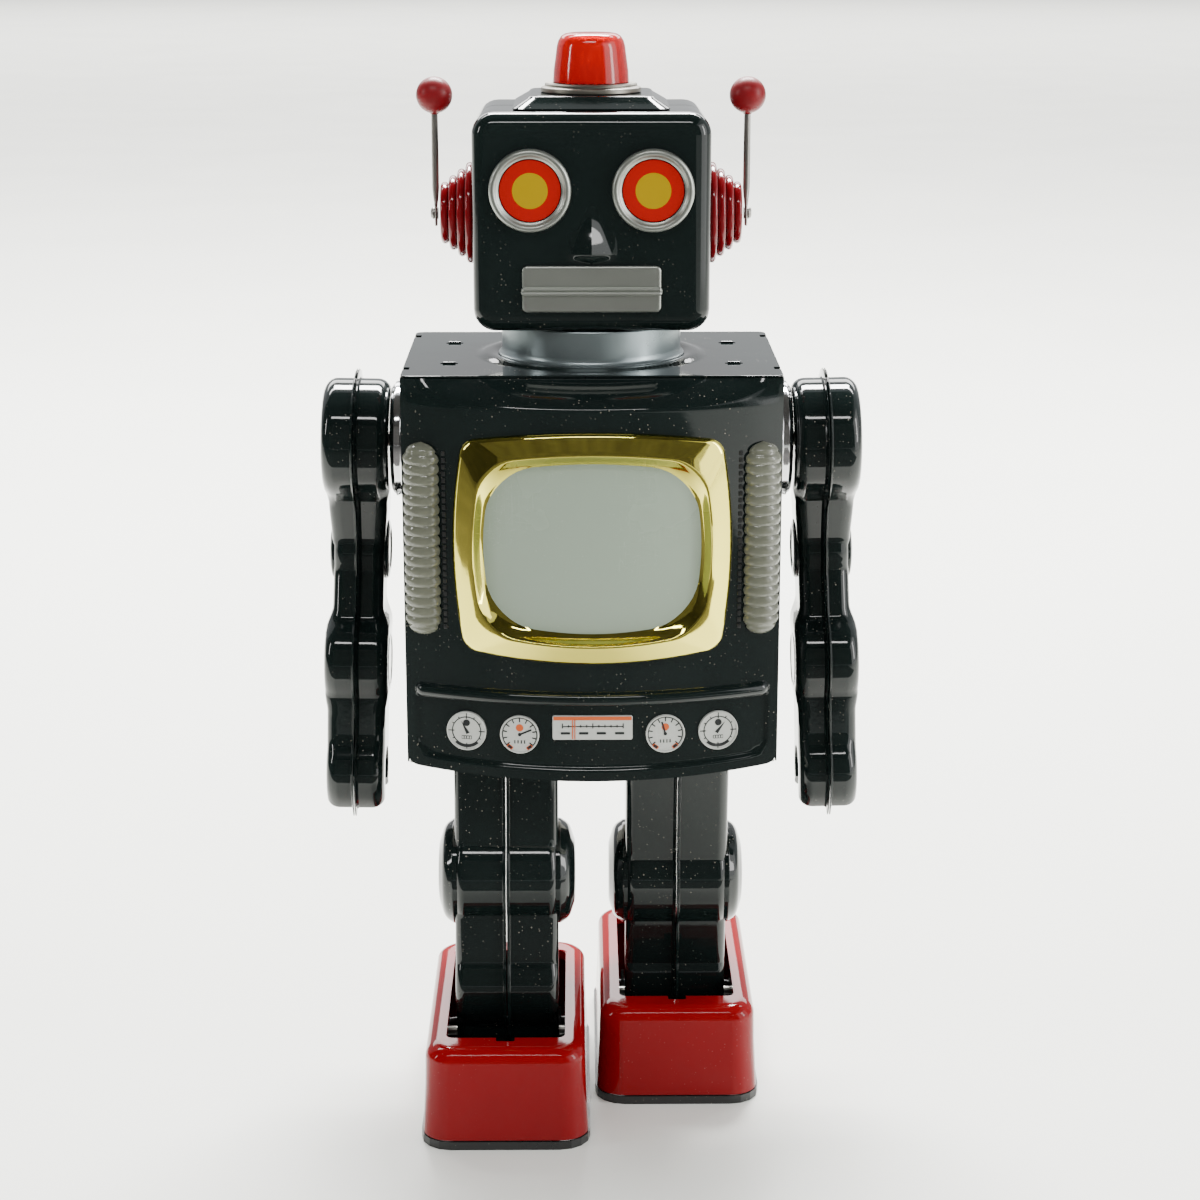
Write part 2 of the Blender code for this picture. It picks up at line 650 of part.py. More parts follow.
# ---------------------------------------------------------------- head
def head_pieces(mats):
    half = HEAD_WIDTH / 2
    middle_z = (HEAD_BOTTOM + HEAD_TOP) / 2
    outline = rounded_rectangle(half, (HEAD_TOP - HEAD_BOTTOM) / 2, HEAD_CORNER, 3, (0, middle_z))
    for name, end in (("front", HEAD_FRONT), ("rear", HEAD_BACK)):
        side = 1 if name == "rear" else -1
        seam = TORSO_Y + side * SEAT / 2
        shell = finish("head_" + name + "_shell", tray(outline, "Y", seam, end, HEAD_EDGE), mats["black"])
        cut(
            shell,
            rod(0.0062, HEAD_TOP - 0.01, HEAD_TOP + 0.01, "Z", (0, TORSO_Y, 0), 12),
            rod(0.0062, HEAD_BOTTOM - 0.005, HEAD_BOTTOM + 0.005, "Z", (0, TORSO_Y, 0), 12),
        )
        if name == "front":
            wings = NOSE_BOTTOM + 0.0037
            wedge = [(-NOSE_HALF, wings), (NOSE_HALF, wings), (0, NOSE_TOP)]
            foot = HEAD_FRONT + TIN / 2
            bm = bmesh.new()
            corners = [bm.verts.new((x, foot, z)) for x, z in wedge + [(0, NOSE_BOTTOM)]]
            peak = bm.verts.new((0, HEAD_FRONT - NOSE_HEIGHT, wings))
            for a, b in ((0, 3), (3, 1), (1, 2), (2, 0)):
                bm.faces.new((corners[a], corners[b], peak))
            bm.faces.new([corners[i] for i in (0, 3, 1, 2)])
            add(shell, bm)
            cut(shell, *[rod(0.006, -0.01, 0.03, "-Y", (s * EYE_X, 0, EYE_Z)) for s in (-1, 1)])

    for side, name in SIDE_NAMES:
        centre = (side * EYE_X, HEAD_FRONT - SEAT, EYE_Z)
        inner = EYE_LENS + SEAT
        ring = [(inner, 0), (EYE_RING, 0), (EYE_RING, EYE_STAND * 0.6), (EYE_RING - 0.001, EYE_STAND),
                (inner + 0.0006, EYE_STAND), (inner, EYE_STAND * 0.7)]
        finish("eye_bezel_" + name, turned(ring, SIDES, "-Y", centre, closed=True), mats["silver"])
        lens = [(0, 0), (EYE_LENS, 0), (EYE_LENS, EYE_STAND * 0.45), (EYE_LENS * 0.58, EYE_STAND * 0.7),
                (0, EYE_STAND * 0.8)]
        finish("eye_lens_" + name, turned(lens, SIDES, "-Y", centre), mats["eye"])

    face = HEAD_FRONT - SEAT
    plate = rounded_rectangle(MOUTH_WIDTH / 2, MOUTH_HEIGHT / 2, 0.002, 2, (0, MOUTH_Z))
    mouth = finish("mouth_plate", prism(plate, face - 0.001, face, "Y"), mats["silver"])
    ridge = rounded_rectangle(MOUTH_WIDTH / 2 - 0.0008, MOUTH_RIDGE / 2, 0.0008, 2, (0, MOUTH_Z - 0.0007))
    add(mouth, prism(ridge, face - 0.0024, face - 0.0005, "Y"))

    rings = []
    for half, z in ((PLINTH_FOOT, PLINTH_BOTTOM), (PLINTH_HEAD, PLINTH_TOP)):
        corners = rounded_rectangle(half, half, PLINTH_CORNER, 3, (0, TORSO_Y))
        rings.append([(x, y, z) for x, y in corners])
    plinth = finish("head_plinth", loft(rings), mats["black"])
    cut(plinth, rod(0.0065, PLINTH_BOTTOM - 0.001, PLINTH_TOP + 0.001, "Z", (0, TORSO_Y, 0)))
    low, high = TORSO_TOP + SEAT, HEAD_BOTTOM - SEAT
    neck = [(NECK_RADIUS - 0.0008, low), (NECK_RADIUS, low), (NECK_RADIUS, high), (0.0065, high),
            (0.0065, high - 0.0008), (NECK_RADIUS - 0.0008, high - 0.0008)]
    finish("neck_drum", turned(neck, SIDES, "Z", (0, TORSO_Y, 0), closed=True), mats["silver"])


def lamp_pieces(mats):
    centre = (0, TORSO_Y, 0)
    top = LAMP_BASE + LAMP_BASE_HEIGHT
    hole = BULB_RADIUS + 0.0012
    flange = [(hole, LAMP_BASE), (LAMP_BASE_RADIUS, LAMP_BASE), (LAMP_BASE_RADIUS, top - 0.0008),
              (LAMP_BASE_RADIUS - 0.001, top), (hole, top)]
    finish("lamp_flange", turned(flange, SIDES, "Z", centre, closed=True), mats["nickel"])
    wall = LAMP_WALL
    roll = LAMP_TOP - 0.0011
    shoulder = LAMP_TOP - 0.0045
    dome = [(0, LAMP_TOP), (LAMP_PLATEAU - 0.003, LAMP_TOP - 0.0002), (LAMP_PLATEAU, roll),
            (LAMP_SHOULDER, shoulder), (LAMP_RADIUS, LAMP_SEAT),
            (LAMP_RADIUS - wall, LAMP_SEAT), (LAMP_SHOULDER - wall, shoulder - 0.3 * wall),
            (LAMP_PLATEAU - 0.7 * wall, roll - wall), (0, LAMP_TOP - 1.4 * wall)]
    finish("lamp_dome", turned(dome, SIDES, "Z", centre), mats["lamp"])
    r = BULB_RADIUS
    bulb = [(0, PLINTH_BOTTOM), (r, PLINTH_BOTTOM), (r, LAMP_SEAT), (r * 0.9, LAMP_SEAT + 0.001),
            (r * 1.05, LAMP_SEAT + 0.006), (r * 0.7, LAMP_SEAT + 0.0095), (0, LAMP_SEAT + 0.0105)]
    finish("lamp_bulb", turned(bulb, SMALL_SIDES, "Z", centre), mats["glass"])


def ear_and_antenna(side, name, mats):
    axis = "X" if side > 0 else "-X"
    centre = (0, TORSO_Y, EAR_Z)
    foot = HEAD_WIDTH / 2 + SEAT
    end = EAR_REACH
    tier = (end - foot) / EAR_TIERS
    profile = [(0, foot)]
    for i in range(EAR_TIERS):
        radius = EAR_RADIUS + (EAR_END_RADIUS - EAR_RADIUS) * i / (EAR_TIERS - 1)
        start = foot + i * tier
        profile += [(radius - 0.0006, start), (radius, start + 0.35 * tier), (radius - 0.0006, start + 0.8 * tier)]
    profile += [(EAR_END_RADIUS - 0.0012, end), (0, end)]
    finish("ear_" + name, turned(profile, SIDES, axis, centre), mats["ear_red"])

    x = ANTENNA_X
    foot_half = ANTENNA_FLAT / 2
    low = EAR_Z - 0.004
    bm = loft([
        [(side * (x + a * foot_half), TORSO_Y + b * 0.0026, low) for a, b in ((-1, -0.6), (-1, 0.6), (1, 0.6), (1, -0.6))],
        [(side * (x + a * foot_half), TORSO_Y + b * 0.0026, low + 0.0012) for a, b in ((-1, -1), (-1, 1), (1, 1), (1, -1))],
        [(side * (x + a * foot_half), TORSO_Y + b * 0.0026, EAR_Z + 0.003) for a, b in ((-1, -1), (-1, 1), (1, 1), (1, -1))],
        [(side * (x + a * foot_half), TORSO_Y + b * 0.0011, EAR_Z + 0.010) for a, b in ((-1, -1), (-1, 1), (1, 1), (1, -1))],
    ])
    stem = finish("antenna_rod_" + name, bm, mats["steel"])
    add(
        stem,
        rod(ANTENNA_RADIUS, EAR_Z + 0.0085, BALL_Z - BALL_RADIUS + 0.0002, "Z", (side * x, TORSO_Y, 0)),
        turned([(0, x), (RIVET_RADIUS, x), (RIVET_RADIUS, x + 0.0012), (0.0012, x + 0.0019), (0, x + 0.0019)],
               SMALL_SIDES, axis, centre),
    )
    bm = bmesh.new()
    bmesh.ops.create_uvsphere(bm, u_segments=12, v_segments=8, radius=BALL_RADIUS)
    bmesh.ops.translate(bm, vec=(side * x, TORSO_Y, BALL_Z + 0.0003), verts=bm.verts)
    ball = finish("antenna_ball_" + name, bm, mats["ball_red"])
    pivot("antenna_pivot_" + name, (side * x, TORSO_Y, EAR_Z), stem, ball)


# ---------------------------------------------------------------- arms
def arm_pieces(side, name, mats):
    shoulder = Vector((side * ARM_X, TORSO_Y, SHOULDER_Z))
    place = Matrix.Translation(shoulder) @ Matrix.Rotation(math.radians(-side * ARM_LEAN), 4, "Y")
    open_half = CLAW_MOUTH / 2
    hand = HAND[:2]
    middle = -90
    claw = arc(hand, HAND[2], 180, 360 + middle - open_half, 2)
    claw += arc(hand, CLAW_BORE, 360 + middle - open_half, middle + open_half, 6)
    claw += arc(hand, HAND[2], middle + open_half, 0, 2)
    circles = [(0, 0, SHOULDER_RADIUS), ELBOW, WRIST, HAND]
    outline = limb_outline(circles, ARM_BAND, claw, 6)
    halves = []
    for layer, way in (("outer", side), ("inner", -side)):
        seam = way * SEAT / 2
        bm = tray(outline, "X", seam, way * ARM_HALF, 0.0014, ARM_FLANGE)
        half = finish("arm_" + name + "_" + layer, bm, mats["black"], place)
        axis = "X" if way > 0 else "-X"
        start = ARM_HALF - TIN / 2
        bosses = []
        for (y, z, radius), reach_x, share in (
            ((0, 0, SHOULDER_RADIUS), SHOULDER_HALF, 0.86),
            (ELBOW, ELBOW_HALF, 0.80),
            (WRIST, WRIST_HALF, 0.82),
        ):
            r = radius * share
            rim = start + 0.45 * (reach_x - start)
            profile = [(0, start), (r, start), (r, rim), (r * 0.86, reach_x), (0, reach_x)]
            bosses.append(turned(profile, SMALL_SIDES, axis, (0, y, z)))
        add(half, *bosses, place=place)
        if layer == "outer":
            shaft = rod(SHOULDER_SHAFT + SEAT, -0.01, SHOULDER_HALF - 0.001, axis)
        else:
            shaft = rod(SHOULDER_SHAFT + SEAT, -0.02, 0.02, axis)
        cut(half, shaft, place=Matrix.Translation(shoulder))
        halves.append(half)
    axis = "X" if side > 0 else "-X"
    inner_end = TORSO_HALF - 0.0065
    outer_end = ARM_X + SHOULDER_HALF - 0.0018
    shaft = [(0, inner_end), (0.0045, inner_end), (0.0045, inner_end + 0.0015),
             (SHOULDER_SHAFT, inner_end + 0.0015), (SHOULDER_SHAFT, outer_end), (0, outer_end)]
    axle = finish("shoulder_axle_" + name, turned(shaft, SMALL_SIDES, axis, (0, TORSO_Y, SHOULDER_Z)), mats["steel"])
    pivot("shoulder_pivot_" + name, tuple(shoulder), axle, *halves)
    low, high = TORSO_HALF + SEAT, ARM_X - SHOULDER_HALF - 0.0008
    bore = SHOULDER_SHAFT + RUN
    r = RING_RADIUS
    ring = [(bore, low), (r, low), (r, low + 0.0012), (r - 0.0012, low + 0.0022), (r - 0.0012, high - 0.001),
            (r - 0.0022, high), (bore, high)]
    bm = turned(ring, SIDES, axis, (0, TORSO_Y, SHOULDER_Z), closed=True)
    finish("shoulder_ring_" + name, bm, mats["chrome"])


# ---------------------------------------------------------------- legs
def leg_place(side):
    """From a leg's own frame (fulcrum pin at the origin, leg straight down) to its place in the step."""
    tilt = Matrix.Rotation(math.radians(side * STEP_ANGLE), 4, "X")
    return Matrix.Translation((side * LEG_X, 0, HIP_Z)) @ tilt


def leg_pieces(side, name, mats):
    lift = -side * LEG_LIFT
    place = leg_place(side)
    end = (0, -LEG_LENGTH, LEG_END_RADIUS)
    circles = [
        (0, CRANK_RISE, LEVER_RADIUS),
        (0, -0.004, LEG_BAND),
        (0, -KNEE_DROP, KNEE_RADIUS),
        (0, -SHIN_ROLL_DROP, SHIN_ROLL_RADIUS),
        end,
    ]
    cap = arc(end[:2], end[2], 180, 360, 6)
    outline = [(y, z + lift) for y, z in limb_outline(circles, LEG_BAND, cap, 6)]
    halves = []
    for layer, way in (("outer", side), ("inner", -side)):
        bm = tray(outline, "X", way * SEAT / 2, way * LEG_HALF, 0.0022, LEG_FLANGE)
        half = finish("leg_" + name + "_" + layer, bm, mats["black"], place)
        axis = "X" if way > 0 else "-X"
        start = LEG_HALF - TIN / 2
        r = KNEE_DOME
        dome = [(0, start), (r, start), (r * 0.93, start + 0.4 * (KNEE_HALF - start)), (r * 0.6, KNEE_HALF - 0.0008),
                (0, KNEE_HALF)]
        add(half, turned(dome, SIDES, axis, (0, 0, lift - KNEE_DROP)), place=place)
        for z, radius in ((0, HIP_PIN), (-LEG_LENGTH, ANKLE_PIN)):
            slot = stadium((0, z), radius + RUN, LEG_LIFT)
            cut(half, prism(slot, -0.03, 0.03, "X"), place=place)
        halves.append(half)
    pivot("hip_pivot_" + name, (side * LEG_X, 0, HIP_Z), *halves)


# ---------------------------------------------------------------- shoes
def shoe_pieces(side, name, mats):
    x0, y0 = side * LEG_X, side * STRIDE
    half_x, half_y = SHOE_WIDTH / 2, SHOE_LENGTH / 2
    outline = rounded_rectangle(half_x, half_y, SHOE_CORNER, 5, (x0, y0))
    upper = finish("shoe_upper_" + name, tray(outline, "Z", SOLE_TOP + SEAT, SHOE_TOP, SHOE_EDGE), mats["shoe_red"])
    mouth = rounded_rectangle(OPENING_WIDTH / 2, OPENING_LENGTH / 2, 0.008, 4, (x0, y0))
    front = y0 - OPENING_LENGTH / 2
    low, high = SHOE_TOP - 0.01, SHOE_TOP + 0.01
    notch = block((x0 - NOTCH_WIDTH / 2, front - NOTCH_DEPTH, low), (x0 + NOTCH_WIDTH / 2, front + 0.002, high))
    cut(upper, prism(mouth, low, high, "Z"), notch)

    sole_outline = rounded_rectangle(half_x + SOLE_LIP, half_y + SOLE_LIP, SHOE_CORNER + SOLE_LIP, 4, (x0, y0))
    sole = finish("shoe_sole_" + name, prism(sole_outline, 0, SOLE_TOP, "Z"), mats["sole"])
    for way in (-1, 1):
        x = x0 + way * RAIL_X
        low, high = x - RAIL_THICK / 2, x + RAIL_THICK / 2
        y = WHEEL_Y + 0.005
        rail = [(y0 - y, 0.0015), (y0 + y, 0.0015), (y0 + y, 0.012), (y0 + 0.008, 0.026), (y0 - 0.008, 0.026),
                (y0 - y, 0.012)]
        add(sole, prism(rail, low, high, "X"))
    room = WHEEL_RADIUS + 0.0008
    wide = WHEEL_WIDTH / 2 + 0.0008
    for end in (-1, 1):
        y = y0 + end * WHEEL_Y
        for way in (-1, 1):
            x = x0 + way * WHEEL_X
            cut(sole, block((x - wide, y - room, -0.002), (x + wide, y + room, 0.006)))
        cut(sole, rod(WHEEL_SHAFT + RUN, -0.03, 0.03, "X", (x0, y, WHEEL_Z)))
    cut(sole, rod(ANKLE_PIN + SEAT, -0.03, 0.03, "X", (x0, y0, ANKLE_Z)))

    reach_x = RAIL_X + RAIL_THICK / 2 + 0.0018
    pin = finish("ankle_pin_" + name, rod(ANKLE_PIN, -reach_x, reach_x, "X", (x0, y0, ANKLE_Z)), mats["steel"])
    pivot("ankle_pivot_" + name, (x0, y0, ANKLE_Z), upper, sole, pin)
    for end, label in ((-1, "front"), (1, "rear")):
        centre = (x0, y0 + end * WHEEL_Y, WHEEL_Z)
        tread = WHEEL_WIDTH / 2
        a, b = WHEEL_X - tread, WHEEL_X + tread
        r, s, t = WHEEL_RADIUS, WHEEL_SHAFT, reach_x
        profile = [(0, -t), (s, -t), (s, -b), (r, -b), (r, -a), (s, -a), (s, a), (r, a), (r, b), (s, b), (s, t), (0, t)]
        wheels = finish("wheelset_" + name + "_" + label, turned(profile, SMALL_SIDES, "X", centre), mats["wheel"])
        pivot("wheel_pivot_" + name + "_" + label, centre, wheels)


# ---------------------------------------------------------------- drive, battery and switch
def drive_pieces(mats):
    floor = TORSO_BOTTOM + TIN + SEAT
    half, thin = FRAME_HALF, FRAME_PLATE
    channel = [(-half, floor), (half, floor), (half, FRAME_TOP), (half - thin, FRAME_TOP), (half - thin, floor + thin),
               (thin - half, floor + thin), (thin - half, FRAME_TOP), (-half, FRAME_TOP)]
    frame = finish("drive_frame", prism(channel, -0.009, 0.030, "Y"), mats["plate"])
    stub = LEG_X + LEG_HALF + 0.0018
    for axis in ("X", "-X"):
        add(frame, rod(HIP_PIN, half - thin / 2, stub, axis, (0, 0, HIP_Z)))
    cut(
        frame,
        rod(CRANK_SHAFT + RUN, -0.012, 0.012, "X", (0, 0, CRANK_Z)),
        rod(0.0010 + RUN, 0.0, 0.012, "X", (0, PINION_Y, CRANK_Z)),
        rod(MOTOR_RADIUS + SEAT, 0.004, 0.012, "-X", (0, PINION_Y, CRANK_Z), 20),
    )

    width = GEAR_WIDTH / 2
    pinion_outline = gear_outline(PINION_TEETH, (PINION_Y, CRANK_Z), 0.5)
    pinion = finish("motor_pinion", prism(pinion_outline, -width, width, "X"), mats["brass"])
    add(pinion, rod(0.0010, -width - 0.0006, half + 0.0012, "X", (0, PINION_Y, CRANK_Z)))
    pivot("motor_pivot", (0, PINION_Y, CRANK_Z), pinion)
    end = width + 0.0010
    motor = [(0, end), (0.003, end), (0.003, end + 0.0012), (MOTOR_RADIUS, end + 0.0012),
             (MOTOR_RADIUS, end + MOTOR_LENGTH), (0.0025, end + MOTOR_LENGTH), (0.0025, end + MOTOR_LENGTH + 0.002),
             (0, end + MOTOR_LENGTH + 0.002)]
    finish("motor", turned(motor, 20, "-X", (0, PINION_Y, CRANK_Z)), mats["steel"])

    crank = finish("crank_gear", prism(gear_outline(CRANK_TEETH, (0, CRANK_Z)), -width, width, "X"), mats["brass"])
    disc_low, disc_high = half + SEAT, half + SEAT + 0.0014
    add(
        crank,
        rod(CRANK_SHAFT, -disc_low - 0.0005, disc_low + 0.0005, "X", (0, 0, CRANK_Z)),
        rod(FRICTION_WHEEL, FRICTION_X - 0.0015, FRICTION_X + 0.0015, "X", (0, 0, CRANK_Z), SIDES),
    )
    for side, axis in ((-1, "-X"), (1, "X")):
        pin = (0, -side * CRANK_THROW_Y, CRANK_Z - side * LEG_LIFT)
        add(
            crank,
            rod(CRANK_DISC, disc_low, disc_high, axis, (0, 0, CRANK_Z), 16),
            rod(CRANK_PIN, disc_high - 0.0006, LEG_X - LEG_HALF - SEAT, axis, pin),
        )
    pivot("crank_pivot", (0, 0, CRANK_Z), crank)

    r, w = DRUM_RADIUS, DRUM_WALL
    bore = POST_RADIUS + RUN
    low = DRUM_BOTTOM
    drum_profile = [(bore, low), (r, low), (r, DRUM_TOP), (r - w, DRUM_TOP), (r - w, low + w), (bore + 0.0015, low + w),
                    (bore + 0.0015, low + 0.008), (bore, low + 0.008)]
    drum = finish("picture_drum", turned(drum_profile, SIDES, closed=True), mats["drum"])
    pivot("drum_pivot", (0, 0, low), drum)
    hung = TORSO_TOP - TIN - SEAT
    arm_low = DRUM_TOP - 0.016
    post = [(0, low + 0.001), (POST_RADIUS, low + 0.001), (POST_RADIUS, hung - 0.001), (0.0055, hung - 0.001),
            (0.0055, hung), (0, hung)]
    carrier = finish("lamp_post", turned(post, SMALL_SIDES), mats["plate"])
    add(carrier, block((-0.003, -0.013, arm_low), (0.003, 0, arm_low + 0.002)))
    r = 0.0042
    top = arm_low - SEAT
    glow = [(0, top), (r * 0.9, top), (r * 0.9, top - 0.006), (r, top - 0.009), (r * 0.8, top - 0.014),
            (0, top - 0.016)]
    finish("drum_lamp", turned(glow, SMALL_SIDES, "Z", (0, -0.009, 0)), mats["glass"])


def battery_pieces(mats):
    floor = TORSO_BOTTOM + TIN + SEAT
    top = BATTERY_BOTTOM + BATTERY_HEIGHT
    front, back = BATTERY_Y - BATTERY_DEPTH / 2, BATTERY_Y + BATTERY_DEPTH / 2
    wall = front - SEAT - 0.001
    shelf = BATTERY_BOTTOM - SEAT
    lip = top + SEAT
    profile = [(wall, floor), (wall + 0.001, floor), (wall + 0.001, shelf - 0.001), (back - 0.004, shelf - 0.001),
               (back - 0.004, shelf), (wall + 0.001, shelf), (wall + 0.001, lip), (front + 0.008, lip),
               (front + 0.008, lip + 0.001), (wall, lip + 0.001)]
    half = BATTERY_WIDTH / 2
    finish("battery_holder", prism(profile, -half, half, "X"), mats["plate"])
    cell = rounded_rectangle(half - 0.0005, BATTERY_DEPTH / 2, 0.003, 2, (0, BATTERY_Y))
    finish("battery_pack", prism(cell, BATTERY_BOTTOM, top, "Z"), mats["battery"])

    half = DOOR_WIDTH / 2 - SEAT
    low, high = DOOR_BOTTOM + SEAT, DOOR_BOTTOM + DOOR_HEIGHT - SEAT
    door_outline = rounded_rectangle(half, (high - low) / 2, 0.002, 2, (0, (low + high) / 2))
    door = finish("battery_door", prism(door_outline, TORSO_BACK - TIN, TORSO_BACK, "Y"), mats["black"])
    axis_y, axis_z = TORSO_BACK + DOOR_BARREL + 0.0003, low
    web = block((-half + 0.006, TORSO_BACK - TIN / 2, low + 0.0002), (half - 0.006, axis_y, low + 0.0009))
    grip = block((-0.006, TORSO_BACK - TIN / 2, high - 0.004), (0.006, TORSO_BACK + 0.0012, high - 0.002))
    add(door, web, rod(DOOR_BARREL, -half + 0.004, half - 0.004, "X", (0, axis_y, axis_z)), grip)
    pivot("door_pivot", (0, axis_y, axis_z), door)

    x, z = SWITCH_X, SWITCH_Z
    outer, inner = TORSO_BACK + SEAT, TORSO_BACK - TIN - SEAT
    lever = finish("switch_lever", block((x - 0.0025, outer, z - 0.003), (x + 0.0025, outer + 0.003, z + 0.003)),
                   mats["nickel"])
    add(
        lever,
        block((x - 0.0015, inner - 0.0005, z - 0.0012), (x + 0.0015, outer + 0.0005, z + 0.0012)),
        block((x - 0.003, inner - 0.0012, z - 0.003), (x + 0.003, inner, z + 0.003)),
    )
    pivot("switch_pivot", (x, TORSO_BACK, z), lever)


def main():
    clear_scene()
    mats = make_materials()
    torso_pieces(mats)
    screen_pieces(mats)
    head_pieces(mats)
    lamp_pieces(mats)
    for side, name in SIDE_NAMES:
        light_strip(side, name, mats)
        ear_and_antenna(side, name, mats)
        arm_pieces(side, name, mats)
        leg_pieces(side, name, mats)
        shoe_pieces(side, name, mats)
    drive_pieces(mats)
    battery_pieces(mats)


main()
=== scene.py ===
import logging
import math
from dataclasses import dataclass, field
from enum import Enum
from typing import Callable, Iterable, Optional, Sequence, Union

import bmesh
import bpy
from mathutils import Matrix, Vector


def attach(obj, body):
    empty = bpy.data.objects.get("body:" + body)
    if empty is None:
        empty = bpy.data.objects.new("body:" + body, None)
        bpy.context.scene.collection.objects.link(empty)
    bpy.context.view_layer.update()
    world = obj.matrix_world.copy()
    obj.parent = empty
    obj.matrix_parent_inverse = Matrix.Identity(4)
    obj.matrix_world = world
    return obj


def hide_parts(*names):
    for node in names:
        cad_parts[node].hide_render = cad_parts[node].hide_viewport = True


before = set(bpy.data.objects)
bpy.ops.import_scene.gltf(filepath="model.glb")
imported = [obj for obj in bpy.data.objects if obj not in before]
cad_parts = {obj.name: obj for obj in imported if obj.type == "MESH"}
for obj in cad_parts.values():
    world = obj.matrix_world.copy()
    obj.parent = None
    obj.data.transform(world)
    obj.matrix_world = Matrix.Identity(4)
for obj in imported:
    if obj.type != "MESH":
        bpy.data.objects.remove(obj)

log = logging.getLogger("tin_robot")

Flat = tuple[float, float]
Spot = Union[tuple[float, float, float], Vector]
Test = Callable[[Vector, Vector], bool]

TIN = 0.0006
SEAT = 0.0003
TORSO_HALF = 0.064
TORSO_Y = 0.0177
TORSO_FRONT = TORSO_Y - 0.0451
TORSO_BACK = TORSO_Y + 0.0451
TORSO_BOTTOM = 0.127
TORSO_TOP = 0.2626
EAVES = TORSO_TOP - TIN - SEAT


class Facing(Enum):
    """The axis that a flat drawing is pushed along."""

    X = "X"
    Y = "Y"
    Z = "Z"


class Side(Enum):
    """The robot's own left and right, with the sign of its X."""

    RIGHT = -1
    LEFT = 1

    @property
    def word(self) -> str:
        """The side's name in the node names."""
        return self.name.lower()


class End(Enum):
    """How the last loop of a lofted shape is closed."""

    OPEN = "open"
    FLAT = "flat"
    POINT = "point"
    LADDER = "ladder"


class Pick(Enum):
    """What is picked in edit mode."""

    VERTS = "VERT"
    EDGES = "EDGE"
    FACES = "FACE"


# ---------------------------------------------------------------- drawing
def lay(facing: Facing, a: float, b: float, c: float) -> Vector:
    """Puts a drawing's point in the room.

    Args:
        facing: The axis that c runs along.
        a: First number of the drawing: y, x or x.
        b: Second number: z, z or y.
        c: Distance along the facing axis.

    Returns:
        The point in metres.
    """
    if facing is Facing.X:
        return Vector((c, a, b))
    return Vector((a, c, b)) if facing is Facing.Y else Vector((a, b, c))


def arc(centre: Flat, radius: float, start: float, end: float, steps: int) -> list[Flat]:
    """Points on an arc, both ends included.

    Args:
        centre: Middle of the arc.
        radius: Its radius.
        start: Angle of the first point, in degrees.
        end: Angle of the last point, in degrees.
        steps: Number of pieces the arc is cut into.

    Returns:
        The points in order.
    """
    angles = [math.radians(start + (end - start) * i / steps) for i in range(steps + 1)]
    return [(centre[0] + radius * math.cos(t), centre[1] + radius * math.sin(t)) for t in angles]


def rounded(corners: Sequence[tuple[float, float, float]], steps: int = 5, closed: bool = True) -> list[Flat]:
    """A line through corners, each rounded by its own radius.

    Args:
        corners: The corners as a, b and radius.
        steps: Pieces in each rounded corner.
        closed: Whether the last corner joins the first.

    Returns:
        The points of the line.
    """
    points: list[Flat] = []
    count = len(corners)
    for i, (a, b, radius) in enumerate(corners):
        if radius <= 0 or (not closed and i in (0, count - 1)):
            points.append((a, b))
            continue
        here = Vector((a, b))
        back = Vector(corners[i - 1][:2]) - here
        ahead = Vector(corners[(i + 1) % count][:2]) - here
        half = back.angle(ahead) / 2
        run = min(radius / math.tan(half), 0.49 * back.length, 0.49 * ahead.length)
        back.normalize()
        ahead.normalize()
        size = run * math.tan(half)
        centre = here + (back + ahead).normalized() * (size / math.sin(half))
        first, last = here + back * run - centre, here + ahead * run - centre
        begin = math.atan2(first.y, first.x)
        sweep = (math.atan2(last.y, last.x) - begin + math.pi) % math.tau - math.pi
        for k in range(steps + 1):
            turn = begin + sweep * k / steps
            points.append((centre.x + size * math.cos(turn), centre.y + size * math.sin(turn)))
    return points


def slab(half_a: float, half_b: float, corner: float, centre: Flat = (0.0, 0.0), steps: int = 5) -> list[Flat]:
    """Outline of a rectangle with round corners.

    Args:
        half_a: Half of its width.
        half_b: Half of its height.
        corner: Radius of its corners.
        centre: Its middle.
        steps: Pieces in each corner.

    Returns:
        The outline, anticlockwise.
    """
    a, b = centre
    signs = ((1, -1), (1, 1), (-1, 1), (-1, -1))
    return rounded([(a + half_a * i, b + half_b * k, corner) for i, k in signs], steps)


def rod(radius: float, low: float, high: float) -> list[Flat]:
    """Profile of a plain round bar, for turning."""
    return [(0, low), (radius, low), (radius, high), (0, high)]


def ease(value: float, low: float, high: float) -> float:
    """A soft step from 0 at low to 1 at high."""
    share = min(max((value - low) / (high - low), 0.0), 1.0)
    return share * share * (3 - 2 * share)


def bump(distance: float, half: float) -> float:
    """A round swelling: 1 in the middle and 0 at half away from it."""
    return math.sqrt(max(1 - (distance / half) ** 2, 0.0))


def along_table(table: Sequence[Flat], at: float) -> float:
    """Reads a falling table with soft steps between its rows.

    Args:
        table: Rows of position and value, positions falling.
        at: The position to read.

    Returns:
        The value there.
    """
    for (high, top), (low, bottom) in zip(table, table[1:]):
        if at >= low:
            return bottom + (top - bottom) * ease(at, low, high)
    return table[-1][1]


def panel_bow(x: float, z: float) -> float:
    """How far the front panel stands out, from 0 at its border to 1 at its middle."""
    brow = min(max((EAVES - z) / 0.0085, 0.0), 1.0)
    soft = 1 - (1 - brow) ** 1.6 if brow < 1 else 1.0
    return (1 - (x / TORSO_HALF) ** 2) * soft


def panel_y(x: float, z: float = 0.2067) -> float:
    """The outer face of the bowed front panel."""
    return TORSO_FRONT - 0.015 * panel_bow(x, z)


